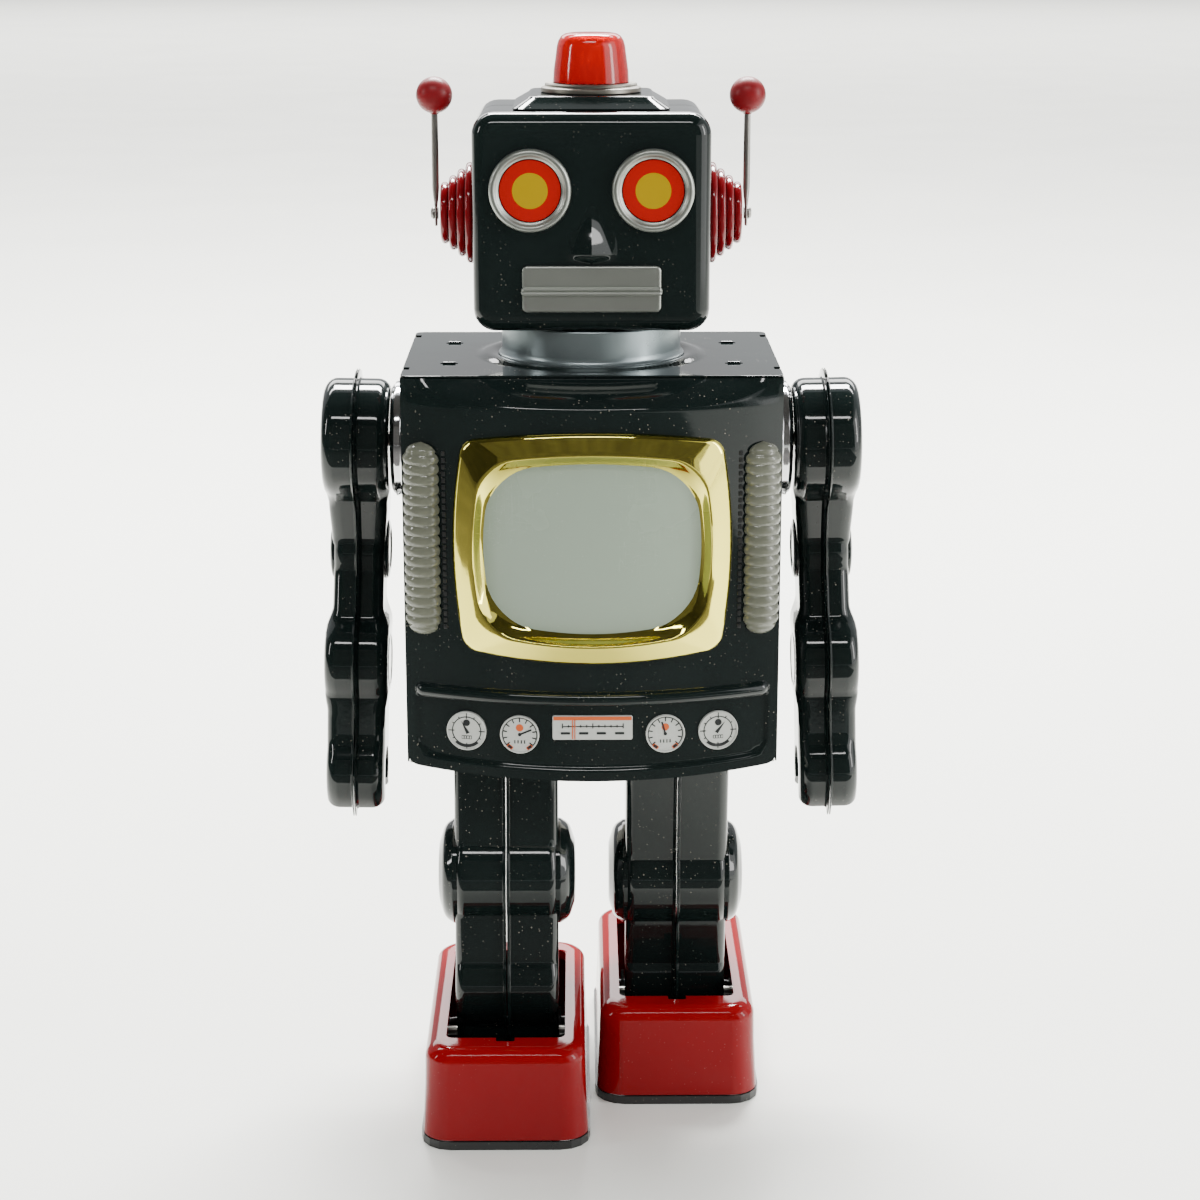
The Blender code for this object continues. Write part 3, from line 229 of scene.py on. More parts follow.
# ---------------------------------------------------------------- the bench
class Work:
    """One piece on the bench, shaped in edit mode by operators on what is picked by place or order."""

    def __init__(self, name: str) -> None:
        """Starts an empty piece.

        Args:
            name: Name of the finished object.
        """
        if bpy.context.object is not None and bpy.context.object.mode == "EDIT":
            bpy.ops.object.mode_set(mode="OBJECT")
        bpy.ops.object.select_all(action="DESELECT")
        bpy.ops.mesh.primitive_plane_add(size=0.001)
        self.obj: bpy.types.Object = bpy.context.object
        self.obj.name = self.obj.data.name = name
        bpy.ops.object.mode_set(mode="EDIT")
        bpy.ops.mesh.delete(type="VERT")

    def awake(self) -> bmesh.types.BMesh:
        """Makes this the piece being edited and returns its mesh."""
        if bpy.context.object is not self.obj or self.obj.mode != "EDIT":
            if bpy.context.object is not None and bpy.context.object.mode == "EDIT":
                bpy.ops.object.mode_set(mode="OBJECT")
            bpy.ops.object.select_all(action="DESELECT")
            bpy.context.view_layer.objects.active = self.obj
            self.obj.select_set(True)
            bpy.ops.object.mode_set(mode="EDIT")
        return bmesh.from_edit_mesh(self.obj.data)

    def rest(self) -> None:
        """Leaves edit mode with this piece alone selected."""
        self.awake()
        bpy.ops.object.mode_set(mode="OBJECT")

    def pick(self, kind: Pick, test: Test) -> int:
        """Picks what passes a test of its place and normal.

        Args:
            kind: What is picked.
            test: Takes the middle and the normal.

        Returns:
            How many were picked.
        """
        bm = self.awake()
        bpy.ops.mesh.select_mode(type=kind.value)
        bpy.ops.mesh.select_all(action="DESELECT")
        count = 0
        if kind is Pick.FACES:
            items = [(f, f.calc_center_median(), f.normal) for f in bm.faces]
        elif kind is Pick.EDGES:
            items = [(e, (e.verts[0].co + e.verts[1].co) / 2, e.verts[0].normal) for e in bm.edges]
        else:
            items = [(v, v.co, v.normal) for v in bm.verts]
        for item, place, normal in items:
            if test(place, normal):
                item.select_set(True)
                count += 1
        bm.select_flush_mode()
        bmesh.update_edit_mesh(self.obj.data)
        return count

    def pick_order(self, wanted: set[int], edges: bool = False) -> None:
        """Picks vertices by their order, or the edges between them.

        Args:
            wanted: Places in the order of vertices.
            edges: Picks in edge mode, which leaves out edges to other vertices.
        """
        bm = self.awake()
        bpy.ops.mesh.select_mode(type="EDGE" if edges else "VERT")
        bpy.ops.mesh.select_all(action="DESELECT")
        bm.verts.ensure_lookup_table()
        if edges:
            bm.verts.index_update()
            for edge in bm.edges:
                if all(v.index in wanted for v in edge.verts):
                    edge.select_set(True)
        else:
            for i in wanted:
                bm.verts[i].select_set(True)
            bm.select_flush_mode()
        bmesh.update_edit_mesh(self.obj.data)

    def trace(self, points: Sequence[Spot], closed: bool = True) -> range:
        """Draws a line of vertices, each extruded from the last.

        Args:
            points: The line's points.
            closed: Whether its ends are joined.

        Returns:
            The order numbers of the new vertices.
        """
        start = len(self.awake().verts)
        bpy.ops.mesh.select_mode(type="VERT")
        bpy.ops.mesh.select_all(action="DESELECT")
        bpy.ops.mesh.primitive_plane_add(size=0.001, location=tuple(points[0]))
        bpy.ops.mesh.merge(type="CENTER")
        for here, there in zip(points, points[1:]):
            step = Vector(there) - Vector(here)
            bpy.ops.mesh.extrude_region_move(TRANSFORM_OT_translate={"value": tuple(step)})
        made = range(start, start + len(points))
        if closed:
            self.pick_order({made[0], made[-1]})
            bpy.ops.mesh.edge_face_add()
        return made

    def loft(self, loops: Sequence[Sequence[Spot]], first: End = End.FLAT, last: End = End.FLAT,
             ring: bool = False) -> "Work":
        """Skins loops of equal length, each traced and bridged to the one before.

        Args:
            loops: The loops in order.
            first: How the first loop is closed.
            last: How the last loop is closed.
            ring: Whether the last loop joins the first.

        Returns:
            This piece.
        """
        self.rest()
        made = [self.trace(loop) for loop in loops]
        pairs = list(zip(made, made[1:])) + ([(made[-1], made[0])] if ring else [])
        for low, high in pairs:
            self.pick_order(set(low) | set(high))
            bpy.ops.mesh.bridge_edge_loops()
        if ring:
            return self
        for end, loop in ((first, made[0]), (last, made[-1])):
            if end is End.FLAT:
                self.pick_order(set(loop))
                bpy.ops.mesh.edge_face_add()
            elif end is End.LADDER:
                half = len(loop) // 2
                self.pick_halves(set(loop[:half]), set(loop[half:]))
                bpy.ops.mesh.bridge_edge_loops()
        for end, loop in ((last, made[-1]), (first, made[0])):
            if end is End.POINT:
                self.pick_order(set(loop))
                bpy.ops.mesh.merge(type="CENTER")
        return self

    def pick_halves(self, one: set[int], other: set[int]) -> None:
        """Picks the edges inside each of two runs of vertices.

        Args:
            one: Order numbers of the first run.
            other: Order numbers of the second run.
        """
        bm = self.awake()
        bpy.ops.mesh.select_mode(type="EDGE")
        bpy.ops.mesh.select_all(action="DESELECT")
        for edge in bm.edges:
            ends = {v.index for v in edge.verts}
            if ends <= one or ends <= other:
                edge.select_set(True)
        bmesh.update_edit_mesh(self.obj.data)

    def slab(self, outline: Sequence[Flat], low: float, high: float, facing: Facing) -> "Work":
        """Fills an outline and extrudes it into a closed slab.

        Args:
            outline: The drawing.
            low: Where it starts along the facing axis.
            high: Where it ends.
            facing: The axis it is extruded along.

        Returns:
            This piece.
        """
        self.rest()
        made = self.trace([lay(facing, a, b, low) for a, b in outline])
        self.pick_order(set(made))
        bpy.ops.mesh.edge_face_add()
        step = lay(facing, 0, 0, high - low)
        bpy.ops.mesh.extrude_region_move(TRANSFORM_OT_translate={"value": tuple(step)})
        return self

    def turned(self, profile: Sequence[Flat], axis: Facing, centre: Spot, steps: int = 48,
               way: int = 1, closed: bool = False) -> "Work":
        """Turns a profile about an axis.

        Args:
            profile: Radius and distance along the axis, in order.
            axis: The axis it turns about.
            centre: A point on the axis.
            steps: Facets round the axis.
            way: 1 or -1, the direction that distances run.
            closed: Whether the profile's ends are joined, for a ring.

        Returns:
            This piece.
        """
        self.rest()
        middle = Vector(centre)
        out = Vector((0, 0, 1)) if axis is not Facing.Z else Vector((1, 0, 0))
        line = lay(axis, 0, 0, 1) * way
        made = self.trace([middle + out * r + line * h for r, h in profile], closed)
        self.pick_order(set(made))
        bpy.ops.mesh.spin(steps=steps, angle=math.tau, center=tuple(middle), axis=tuple(lay(axis, 0, 0, 1)))
        self.merge()
        return self

    def box(self, low: Spot, high: Spot) -> "Work":
        """Adds a block between two corners.

        Args:
            low: Its lowest corner.
            high: Its highest corner.

        Returns:
            This piece.
        """
        self.awake()
        bpy.ops.mesh.select_all(action="DESELECT")
        middle = (Vector(low) + Vector(high)) / 2
        bpy.ops.mesh.primitive_cube_add(size=1, location=tuple(middle), scale=tuple(Vector(high) - Vector(low)))
        return self

    def merge(self, gap: float = 1e-6) -> "Work":
        """Merges doubles and turns all faces outwards."""
        self.awake()
        bpy.ops.mesh.select_all(action="SELECT")
        bpy.ops.mesh.remove_doubles(threshold=gap)
        bpy.ops.mesh.normals_make_consistent(inside=False)
        return self

    def bevel(self, test: Test, width: float, segments: int = 2) -> "Work":
        """Rounds the picked edges.

        Args:
            test: Which edges are rounded, by the middle of each.
            width: Width of the rounding.
            segments: Facets across it.

        Returns:
            This piece.
        """
        if self.pick(Pick.EDGES, test):
            bpy.ops.mesh.bevel(offset=width, segments=segments, affect="EDGES", clamp_overlap=True)
        return self

    def score(self, facing: Facing, places: Iterable[float], test: Optional[Test] = None) -> "Work":
        """Cuts faces along planes, so that they can be pressed into shape.

        Args:
            facing: The axis across the planes.
            places: Where each plane stands.
            test: Which faces are cut, or all.

        Returns:
            This piece.
        """
        across = lay(facing, 0, 0, 1)
        for place in places:
            if test is None:
                self.awake()
                bpy.ops.mesh.select_all(action="SELECT")
            elif not self.pick(Pick.FACES, test):
                continue
            bpy.ops.mesh.bisect(plane_co=tuple(across * place), plane_no=tuple(across), threshold=1e-6)
        return self

    def modify(self, kind: str, **settings: object) -> "Work":
        """Adds one modifier and applies it.

        Args:
            kind: The modifier's type.
            **settings: Its settings.

        Returns:
            This piece.
        """
        self.rest()
        made = self.obj.modifiers.new(kind.lower(), kind)
        for key, value in settings.items():
            setattr(made, key, value)
        bpy.ops.object.modifier_apply(modifier=made.name)
        return self

    def press(self, facing: Optional[Facing], depth: float, share: Callable[[Vector], float]) -> "Work":
        """Presses the piece along an axis, as much as each place calls for.

        Args:
            facing: The axis it is pressed along, or None for the surface's own normal.
            depth: The full press in metres, negative for the other way.
            share: The share of the press at a place, 0 to 1.

        Returns:
            This piece.
        """
        self.rest()
        group = self.obj.vertex_groups.new(name="press")
        for vertex in self.obj.data.vertices:
            weight = share(vertex.co)
            if weight > 0:
                group.add([vertex.index], min(weight, 1.0), "REPLACE")
        way = facing.value if facing else "NORMAL"
        self.modify("DISPLACE", direction=way, strength=depth, mid_level=0.0, vertex_group=group.name)
        self.obj.vertex_groups.clear()
        return self

    def wall(self, thick: float = TIN, way: float = -1.0) -> "Work":
        """Gives a sheet its thickness, inwards unless way is 1."""
        self.merge()
        return self.modify("SOLIDIFY", thickness=thick, offset=way, use_even_offset=True)

    def combine(self, other: "Work", operation: str) -> "Work":
        """Cuts, joins or meets this piece with another, which is used up.

        Args:
            other: The other piece.
            operation: DIFFERENCE, UNION or INTERSECT.

        Returns:
            This piece.
        """
        other.merge()
        other.rest()
        self.merge()
        self.modify("BOOLEAN", object=other.obj, operation=operation, solver="EXACT")
        bpy.data.meshes.remove(other.obj.data)
        return self

    def move(self, matrix: Matrix) -> "Work":
        """Moves the whole piece's mesh by a matrix."""
        self.rest()
        self.obj.matrix_world = matrix
        bpy.ops.object.transform_apply(location=True, rotation=True, scale=True)
        return self

    def twin(self, name: str) -> "Work":
        """A copy across the robot's middle, with its own mesh.

        Args:
            name: Name of the copy.

        Returns:
            The copy.
        """
        copy = self.copy(name)
        copy.awake()
        bpy.ops.mesh.select_all(action="SELECT")
        bpy.ops.transform.resize(value=(-1, 1, 1), center_override=(0, 0, 0))
        bpy.ops.mesh.flip_normals()
        return copy

    def copy(self, name: str) -> "Work":
        """A copy in place, with its own mesh."""
        self.rest()
        bpy.ops.object.duplicate(linked=False)
        copy = object.__new__(Work)
        copy.obj = bpy.context.object
        copy.obj.name = copy.obj.data.name = name
        return copy

    def paint(self, material: bpy.types.Material, since: int = 0, test: Optional[Test] = None) -> "Work":
        """Gives faces a material.

        Args:
            material: The finish.
            since: Only faces made after this many vertices were there.
            test: Only faces that pass, by middle and normal.

        Returns:
            This piece.
        """
        bm = self.awake()
        names = [m.name for m in self.obj.data.materials]
        if material.name not in names:
            self.obj.data.materials.append(material)
            names.append(material.name)
        slot = names.index(material.name)
        bm.verts.index_update()
        for face in bm.faces:
            if all(v.index >= since for v in face.verts):
                if test is None or test(face.calc_center_median(), face.normal):
                    face.material_index = slot
        bmesh.update_edit_mesh(self.obj.data)
        return self

    def size(self) -> int:
        """How many vertices there are."""
        return len(self.awake().verts)

    def done(self, body: str, slot: str, finish: Optional["Finish"] = None, stands_for: Sequence[str] = (),
             smooth: float = 34.0) -> "Work":
        """Finishes the piece: outward faces, smooth shading, its finish and its body.

        Args:
            body: The body it rides on.
            slot: The record's material slot; not used.
            finish: Its finish, if it isn't painted yet.
            stands_for: The frame's nodes it replaces.
            smooth: Edges sharper than this many degrees stay sharp.

        Returns:
            This piece.
        """
        if finish is not None:
            self.paint(finish.material())
        self.merge()
        self.rest()
        bpy.ops.object.shade_smooth_by_angle(angle=math.radians(smooth))
        self.modify("WEIGHTED_NORMAL", weight=60, keep_sharp=True)
        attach(self.obj, body)
        if stands_for:
            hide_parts(*stands_for)
        log.info("%s: %d faces on %s", self.obj.name, len(self.obj.data.polygons), body)
        return self


# ---------------------------------------------------------------- finishes
class Nodes:
    """Adds and joins the nodes of one tree."""

    def __init__(self, tree: bpy.types.NodeTree) -> None:
        """Takes the tree to work in."""
        self.tree = tree

    def add(self, kind: str, inputs: Optional[dict[Union[str, int], object]] = None,
            **settings: object) -> bpy.types.Node:
        """Adds a node.

        Args:
            kind: The node's type.
            inputs: Values for its inputs, or the sockets that feed them.
            **settings: Its settings.

        Returns:
            The node.
        """
        node = self.tree.nodes.new(kind)
        for key, value in settings.items():
            setattr(node, key, value)
        for key, value in (inputs or {}).items():
            if isinstance(value, bpy.types.NodeSocket):
                self.tree.links.new(value, node.inputs[key])
            else:
                node.inputs[key].default_value = value
        return node

    def math(self, operation: str, *values: object) -> bpy.types.NodeSocket:
        """One step of arithmetic."""
        return self.add("ShaderNodeMath", dict(enumerate(values)), operation=operation).outputs[0]

    def span(self, value: bpy.types.NodeSocket, low: float, high: float, first: float = 0.0,
             last: float = 1.0) -> bpy.types.NodeSocket:
        """Maps low and high to first and last, kept between them."""
        inputs = {0: value, 1: low, 2: high, 3: first, 4: last}
        return self.add("ShaderNodeMapRange", inputs, interpolation_type="SMOOTHSTEP").outputs[0]

    def noise(self, scale: float, detail: float = 2.0, stretch: Spot = (1, 1, 1),
              rough: float = 0.5) -> bpy.types.NodeSocket:
        """Soft noise fixed to the object, its cells so many to a metre."""
        place = self.add("ShaderNodeTexCoord").outputs["Object"]
        place = self.add("ShaderNodeMapping", {"Vector": place, "Scale": stretch}).outputs[0]
        inputs = {"Vector": place, "Scale": scale, "Detail": detail, "Roughness": rough}
        return self.add("ShaderNodeTexNoise", inputs).outputs[0]

    def mix(self, share: object, one: object, other: object) -> bpy.types.NodeSocket:
        """Mixes two colours."""
        node = self.add("ShaderNodeMix", {0: share, 6: one, 7: other}, data_type="RGBA")
        return node.outputs[2]


def node_group(name: str, inputs: dict[str, float], output: str) -> tuple[bpy.types.NodeTree, Nodes, bpy.types.Node]:
    """Starts a shader node group with number inputs and one number output.

    Args:
        name: The group's name.
        inputs: Its inputs and their usual values.
        output: Its output.

    Returns:
        The group, its node maker and its input node.
    """
    tree = bpy.data.node_groups.new(name, "ShaderNodeTree")
    for key, value in inputs.items():
        tree.interface.new_socket(name=key, in_out="INPUT", socket_type="NodeSocketFloat").default_value = value
    tree.interface.new_socket(name=output, in_out="OUTPUT", socket_type="NodeSocketFloat")
    nodes = Nodes(tree)
    return tree, nodes, nodes.add("NodeGroupInput")


def close_group(nodes: Nodes, value: bpy.types.NodeSocket) -> None:
    """Joins the group's result to its output."""
    nodes.add("NodeGroupOutput", {0: value})


def dust_group() -> bpy.types.NodeTree:
    """Specks of dust in drifts: small round dots, thicker where a slow noise is high."""
    tree, nodes, given = node_group("dust_specks", {"Cells": 500.0, "Amount": 0.5}, "Mask")
    place = nodes.add("ShaderNodeTexCoord").outputs["Object"]
    cells = nodes.add("ShaderNodeTexVoronoi", {"Vector": place, "Scale": given.outputs["Cells"]})
    tint = nodes.add("ShaderNodeSeparateColor", {0: cells.outputs["Color"]}).outputs[0]
    radius = nodes.math("MULTIPLY", tint, 0.2)
    dot = nodes.math("LESS_THAN", cells.outputs["Distance"], radius)
    drift = nodes.span(nodes.noise(30, 3), 0.42, 0.68)
    close_group(nodes, nodes.math("MULTIPLY", nodes.math("MULTIPLY", dot, drift), given.outputs["Amount"]))
    return tree


def scratch_group() -> bpy.types.NodeTree:
    """Fine rubbing marks that run two ways and fade in and out."""
    tree, nodes, given = node_group("fine_scratches", {"Amount": 0.5}, "Mask")
    marks = []
    for stretch in ((1.0, 0.3, 0.05), (0.06, 0.4, 1.0)):
        line = nodes.noise(900, 1, stretch)
        marks.append(nodes.span(nodes.math("ABSOLUTE", nodes.math("SUBTRACT", line, 0.5)), 0.0, 0.012, 1.0, 0.0))
    both = nodes.math("MAXIMUM", *marks)
    patch = nodes.span(nodes.noise(24, 2), 0.5, 0.72)
    close_group(nodes, nodes.math("MULTIPLY", nodes.math("MULTIPLY", both, patch), given.outputs["Amount"]))
    return tree


def peel_group() -> bpy.types.NodeTree:
    """The low, soft waviness of stoved lacquer and pressed sheet."""
    tree, nodes, given = node_group("sheet_waviness", {"Fine": 1.0, "Slow": 1.0}, "Height")
    fine = nodes.math("MULTIPLY", nodes.noise(420, 1), given.outputs["Fine"])
    slow = nodes.math("MULTIPLY", nodes.noise(45, 1), given.outputs["Slow"])
    close_group(nodes, nodes.math("ADD", nodes.math("MULTIPLY", fine, 0.1), slow))
    return tree


def cloud_group() -> bpy.types.NodeTree:
    """Slow clouds, for colour and gloss that change a little from place to place."""
    tree, nodes, given = node_group("slow_clouds", {"Cells": 20.0, "Contrast": 1.0}, "Value")
    place = nodes.add("ShaderNodeTexCoord").outputs["Object"]
    inputs = {"Vector": place, "Scale": given.outputs["Cells"], "Detail": 4.0}
    value = nodes.add("ShaderNodeTexNoise", inputs).outputs[0]
    spread = nodes.math("MULTIPLY", nodes.math("SUBTRACT", value, 0.5), given.outputs["Contrast"])
    close_group(nodes, nodes.math("ADD", spread, 0.5))
    return tree


class Effects:
    """The shared effects, each built once."""

    makers: dict[str, Callable[[], bpy.types.NodeTree]] = {
        "dust": dust_group, "scratch": scratch_group, "peel": peel_group, "cloud": cloud_group,
    }
    made: dict[str, bpy.types.NodeTree] = {}

    @classmethod
    def place(cls, nodes: Nodes, key: str, **values: float) -> bpy.types.NodeSocket:
        """Puts a shared effect in a material.

        Args:
            nodes: The material's node maker.
            key: The effect's name.
            **values: Its inputs.

        Returns:
            The effect's output.
        """
        if key not in cls.made:
            cls.made[key] = cls.makers[key]()
        node = nodes.add("ShaderNodeGroup", node_tree=cls.made[key])
        for name, value in values.items():
            node.inputs[name].default_value = value
        return node.outputs[0]


@dataclass(frozen=True)
class Finish:
    """A surface: its colour, gloss and how worn, dusty and wavy it is."""

    name: str
    colour: tuple[float, float, float]
    roughness: float = 0.2
    metallic: float = 0.0
    coat: float = 0.0
    specular: float = 0.5
    cloud: float = 0.1
    cloud_cells: float = 22.0
    cloud_colour: Optional[tuple[float, float, float]] = None
    gloss_change: float = 0.06
    dust: float = 0.0
    dust_colour: tuple[float, float, float] = (0.30, 0.27, 0.22)
    scratch: float = 0.0
    scratch_lift: float = 0.25
    wave: float = 0.0
    wave_fine: float = 1.0
    grain: float = 0.0
    grain_stretch: tuple[float, float, float] = (1.0, 1.0, 1.0)
    grain_cells: float = 1500.0
    transmission: float = 0.0
    ior: float = 1.5

    def material(self) -> bpy.types.Material:
        """The finish as a material, built at its first use."""
        if self.name in bpy.data.materials:
            return bpy.data.materials[self.name]
        made = bpy.data.materials.new(self.name)
        made.use_nodes = True
        nodes = Nodes(made.node_tree)
        shader = made.node_tree.nodes["Principled BSDF"]
        self.constants(shader)
        self.colours(nodes, shader)
        self.gloss(nodes, shader)
        self.relief(nodes, shader)
        return made

    def constants(self, shader: bpy.types.Node) -> None:
        """Sets what is the same all over, on the shader's own sockets."""
        for key, value in (("Metallic", self.metallic), ("Coat Weight", self.coat), ("IOR", self.ior),
                           ("Specular IOR Level", self.specular), ("Transmission Weight", self.transmission),
                           ("Coat Roughness", 0.04)):
            shader.inputs[key].default_value = value

    def colours(self, nodes: Nodes, shader: bpy.types.Node) -> None:
        """Colour: slow clouds between two near shades, with dust over them.

        Args:
            nodes: The material's node maker.
            shader: The surface shader.
        """
        shift = self.cloud
        low = tuple(c * (1 - shift) for c in self.colour) + (1,)
        high = (*(self.cloud_colour or tuple(min(c * (1 + shift), 1) for c in self.colour)), 1)
        value = Effects.place(nodes, "cloud", Cells=self.cloud_cells, Contrast=1.6)
        colour = nodes.mix(value, low, high)
        if self.dust:
            mask = Effects.place(nodes, "dust", Cells=700.0, Amount=self.dust)
            colour = nodes.mix(mask, colour, (*self.dust_colour, 1))
        nodes.tree.links.new(colour, shader.inputs["Base Color"])

    def gloss(self, nodes: Nodes, shader: bpy.types.Node) -> None:
        """Roughness: clouds, rubbing marks and dull dust.

        Args:
            nodes: The material's node maker.
            shader: The surface shader.
        """
        value = Effects.place(nodes, "cloud", Cells=self.cloud_cells * 1.7, Contrast=2.0)
        rough = nodes.span(value, 0.0, 1.0, self.roughness, self.roughness + self.gloss_change)
        if self.scratch:
            mask = Effects.place(nodes, "scratch", Amount=self.scratch)
            rough = nodes.math("ADD", rough, nodes.math("MULTIPLY", mask, self.scratch_lift))
        if self.dust:
            mask = Effects.place(nodes, "dust", Cells=700.0, Amount=self.dust)
            rough = nodes.math("ADD", rough, nodes.math("MULTIPLY", mask, 0.5))
        nodes.tree.links.new(rough, shader.inputs["Roughness"])

    def relief(self, nodes: Nodes, shader: bpy.types.Node) -> None:
        """Small relief: the sheet's waviness and the grain of its surface.

        Args:
            nodes: The material's node maker.
            shader: The surface shader.
        """
        normal: Optional[bpy.types.NodeSocket] = None
        if self.wave:
            height = Effects.place(nodes, "peel", Fine=self.wave_fine, Slow=1.0)
            node = nodes.add("ShaderNodeBump", {"Height": height, "Strength": 1.0, "Distance": self.wave})
            normal = node.outputs[0]
        if self.grain:
            height = nodes.noise(self.grain_cells, 3, self.grain_stretch, 0.6)
            node = nodes.add("ShaderNodeBump", {"Height": height, "Strength": 1.0, "Distance": self.grain})
            if normal is not None:
                nodes.tree.links.new(normal, node.inputs["Normal"])
            normal = node.outputs[0]
        if normal is not None:
            nodes.tree.links.new(normal, shader.inputs["Normal"])
            if self.coat:
                nodes.tree.links.new(normal, shader.inputs["Coat Normal"])


BLACK = Finish("black_lacquer", (0.0048, 0.0085, 0.0080), 0.045, specular=0.44, cloud=0.25, gloss_change=0.03, dust=0.5,
               scratch=0.7, scratch_lift=0.12, wave=0.00006)
CRIMSON = Finish("crimson_lacquer", (0.19, 0.0025, 0.0045), 0.05, specular=0.20, cloud=0.08, gloss_change=0.04, dust=0.3,
                 dust_colour=(0.3, 0.1, 0.1), scratch=0.6, scratch_lift=0.12, wave=0.00005)
EAR_RED = Finish("ear_red_plastic", (0.15, 0.0030, 0.0060), 0.07, specular=0.4, cloud=0.12, dust=0.2, scratch=0.3,
                 wave=0.00003, coat=0.2)
BALL_RED = Finish("ball_enamel", (0.16, 0.0030, 0.0060), 0.34, specular=0.25, cloud=0.08, scratch=0.3, grain=0.00002,
                  grain_cells=900)
SATIN = Finish("satin_silver", (0.37, 0.39, 0.355), 0.30, metallic=0.85, cloud=0.06, gloss_change=0.08, scratch=0.4,
               grain=0.000006, grain_stretch=(0.06, 1, 1), dust=0.2)
NECK = Finish("neck_silver", (0.27, 0.32, 0.33), 0.26, metallic=0.8, cloud=0.08, gloss_change=0.08, scratch=0.5,
              grain=0.000006, grain_stretch=(1, 1, 0.05))
CHROME = Finish("bright_plate", (0.80, 0.81, 0.82), 0.05, metallic=1.0, cloud=0.05, gloss_change=0.05, scratch=0.5,
                wave=0.00004)
GOLD = Finish("gold_mirror", (0.84, 0.74, 0.14), 0.035, metallic=1.0, cloud=0.05, gloss_change=0.03, scratch=0.6,
              wave=0.00004)
STEEL = Finish("grey_steel", (0.30, 0.29, 0.27), 0.34, metallic=0.9, cloud=0.2, gloss_change=0.15, scratch=0.8,
               grain=0.00001, grain_stretch=(1, 1, 0.1))
NICKEL = Finish("dull_nickel", (0.20, 0.19, 0.165), 0.30, metallic=0.95, cloud=0.18, gloss_change=0.2, scratch=0.8,
                cloud_colour=(0.25, 0.235, 0.20), grain=0.00001)
MILK = Finish("milky_screen", (0.235, 0.285, 0.228), 0.24, specular=0.35, cloud=0.03, cloud_cells=9, gloss_change=0.05,
              scratch=0.3, dust=0.1, coat=0.15, wave=0.00002)
CLEAR = Finish("clear_rib", (0.15, 0.155, 0.118), 0.10, specular=0.6, transmission=0.30, cloud=0.15, gloss_change=0.1,
               dust=0.2, dust_colour=(0.25, 0.25, 0.22), wave=0.00008, ior=1.49)
LAMP_RED = Finish("lamp_red", (0.66, 0.0010, 0.0012), 0.07, transmission=0.55, cloud=0.06, wave=0.00003, ior=1.49)
GLASS = Finish("bulb_glass", (0.95, 0.93, 0.88), 0.03, transmission=0.9, cloud=0.02, wave=0.00002, ior=1.45)
DISC_RED = Finish("disc_red", (0.31, 0.0030, 0.0010), 0.22, specular=0.15, cloud=0.05, scratch=0.3, grain=0.00001)
DISC_YELLOW = Finish("disc_yellow", (0.30, 0.195, 0.0002), 0.22, specular=0.10, cloud=0.05, scratch=0.3, grain=0.00001)
SOLE_BLACK = Finish("sole_black", (0.010, 0.011, 0.011), 0.24, cloud=0.3, gloss_change=0.15, dust=0.6, scratch=0.8,
                    wave=0.00005)
RUBBER = Finish("tyre_rubber", (0.018, 0.018, 0.018), 0.65, cloud=0.3, gloss_change=0.2, dust=0.6, grain=0.00005)
BARE = Finish("bare_tinplate", (0.52, 0.51, 0.47), 0.24, metallic=1.0, cloud=0.16, gloss_change=0.2, scratch=0.8,
              grain=0.00001, grain_stretch=(0.1, 1, 1))
BRASS = Finish("gear_brass", (0.62, 0.44, 0.16), 0.25, metallic=1.0, cloud=0.2, gloss_change=0.15, scratch=0.6,
               grain=0.00001)
FILM = Finish("drum_film", (0.42, 0.50, 0.62), 0.35, cloud=0.3, cloud_cells=40, scratch=0.3)
CARD = Finish("battery_card", (0.08, 0.15, 0.38), 0.45, cloud=0.15, scratch=0.5, grain=0.00003)
DIAL = Finish("dial_white", (0.42, 0.43, 0.405), 0.22, cloud=0.03, gloss_change=0.05, scratch=0.3, grain=0.000006)
INK = Finish("dial_ink", (0.012, 0.014, 0.015), 0.3, cloud=0.2, grain=0.000006)
ORANGE = Finish("dial_orange", (0.50, 0.085, 0.015), 0.28, cloud=0.08, grain=0.000006)
# Matte near-black used only for painted shade: the dark gap beside each light strip.
SHADE = Finish("dark_recess", (0.012, 0.013, 0.013), 0.5, cloud=0.3, gloss_change=0.2, grain=0.00002)


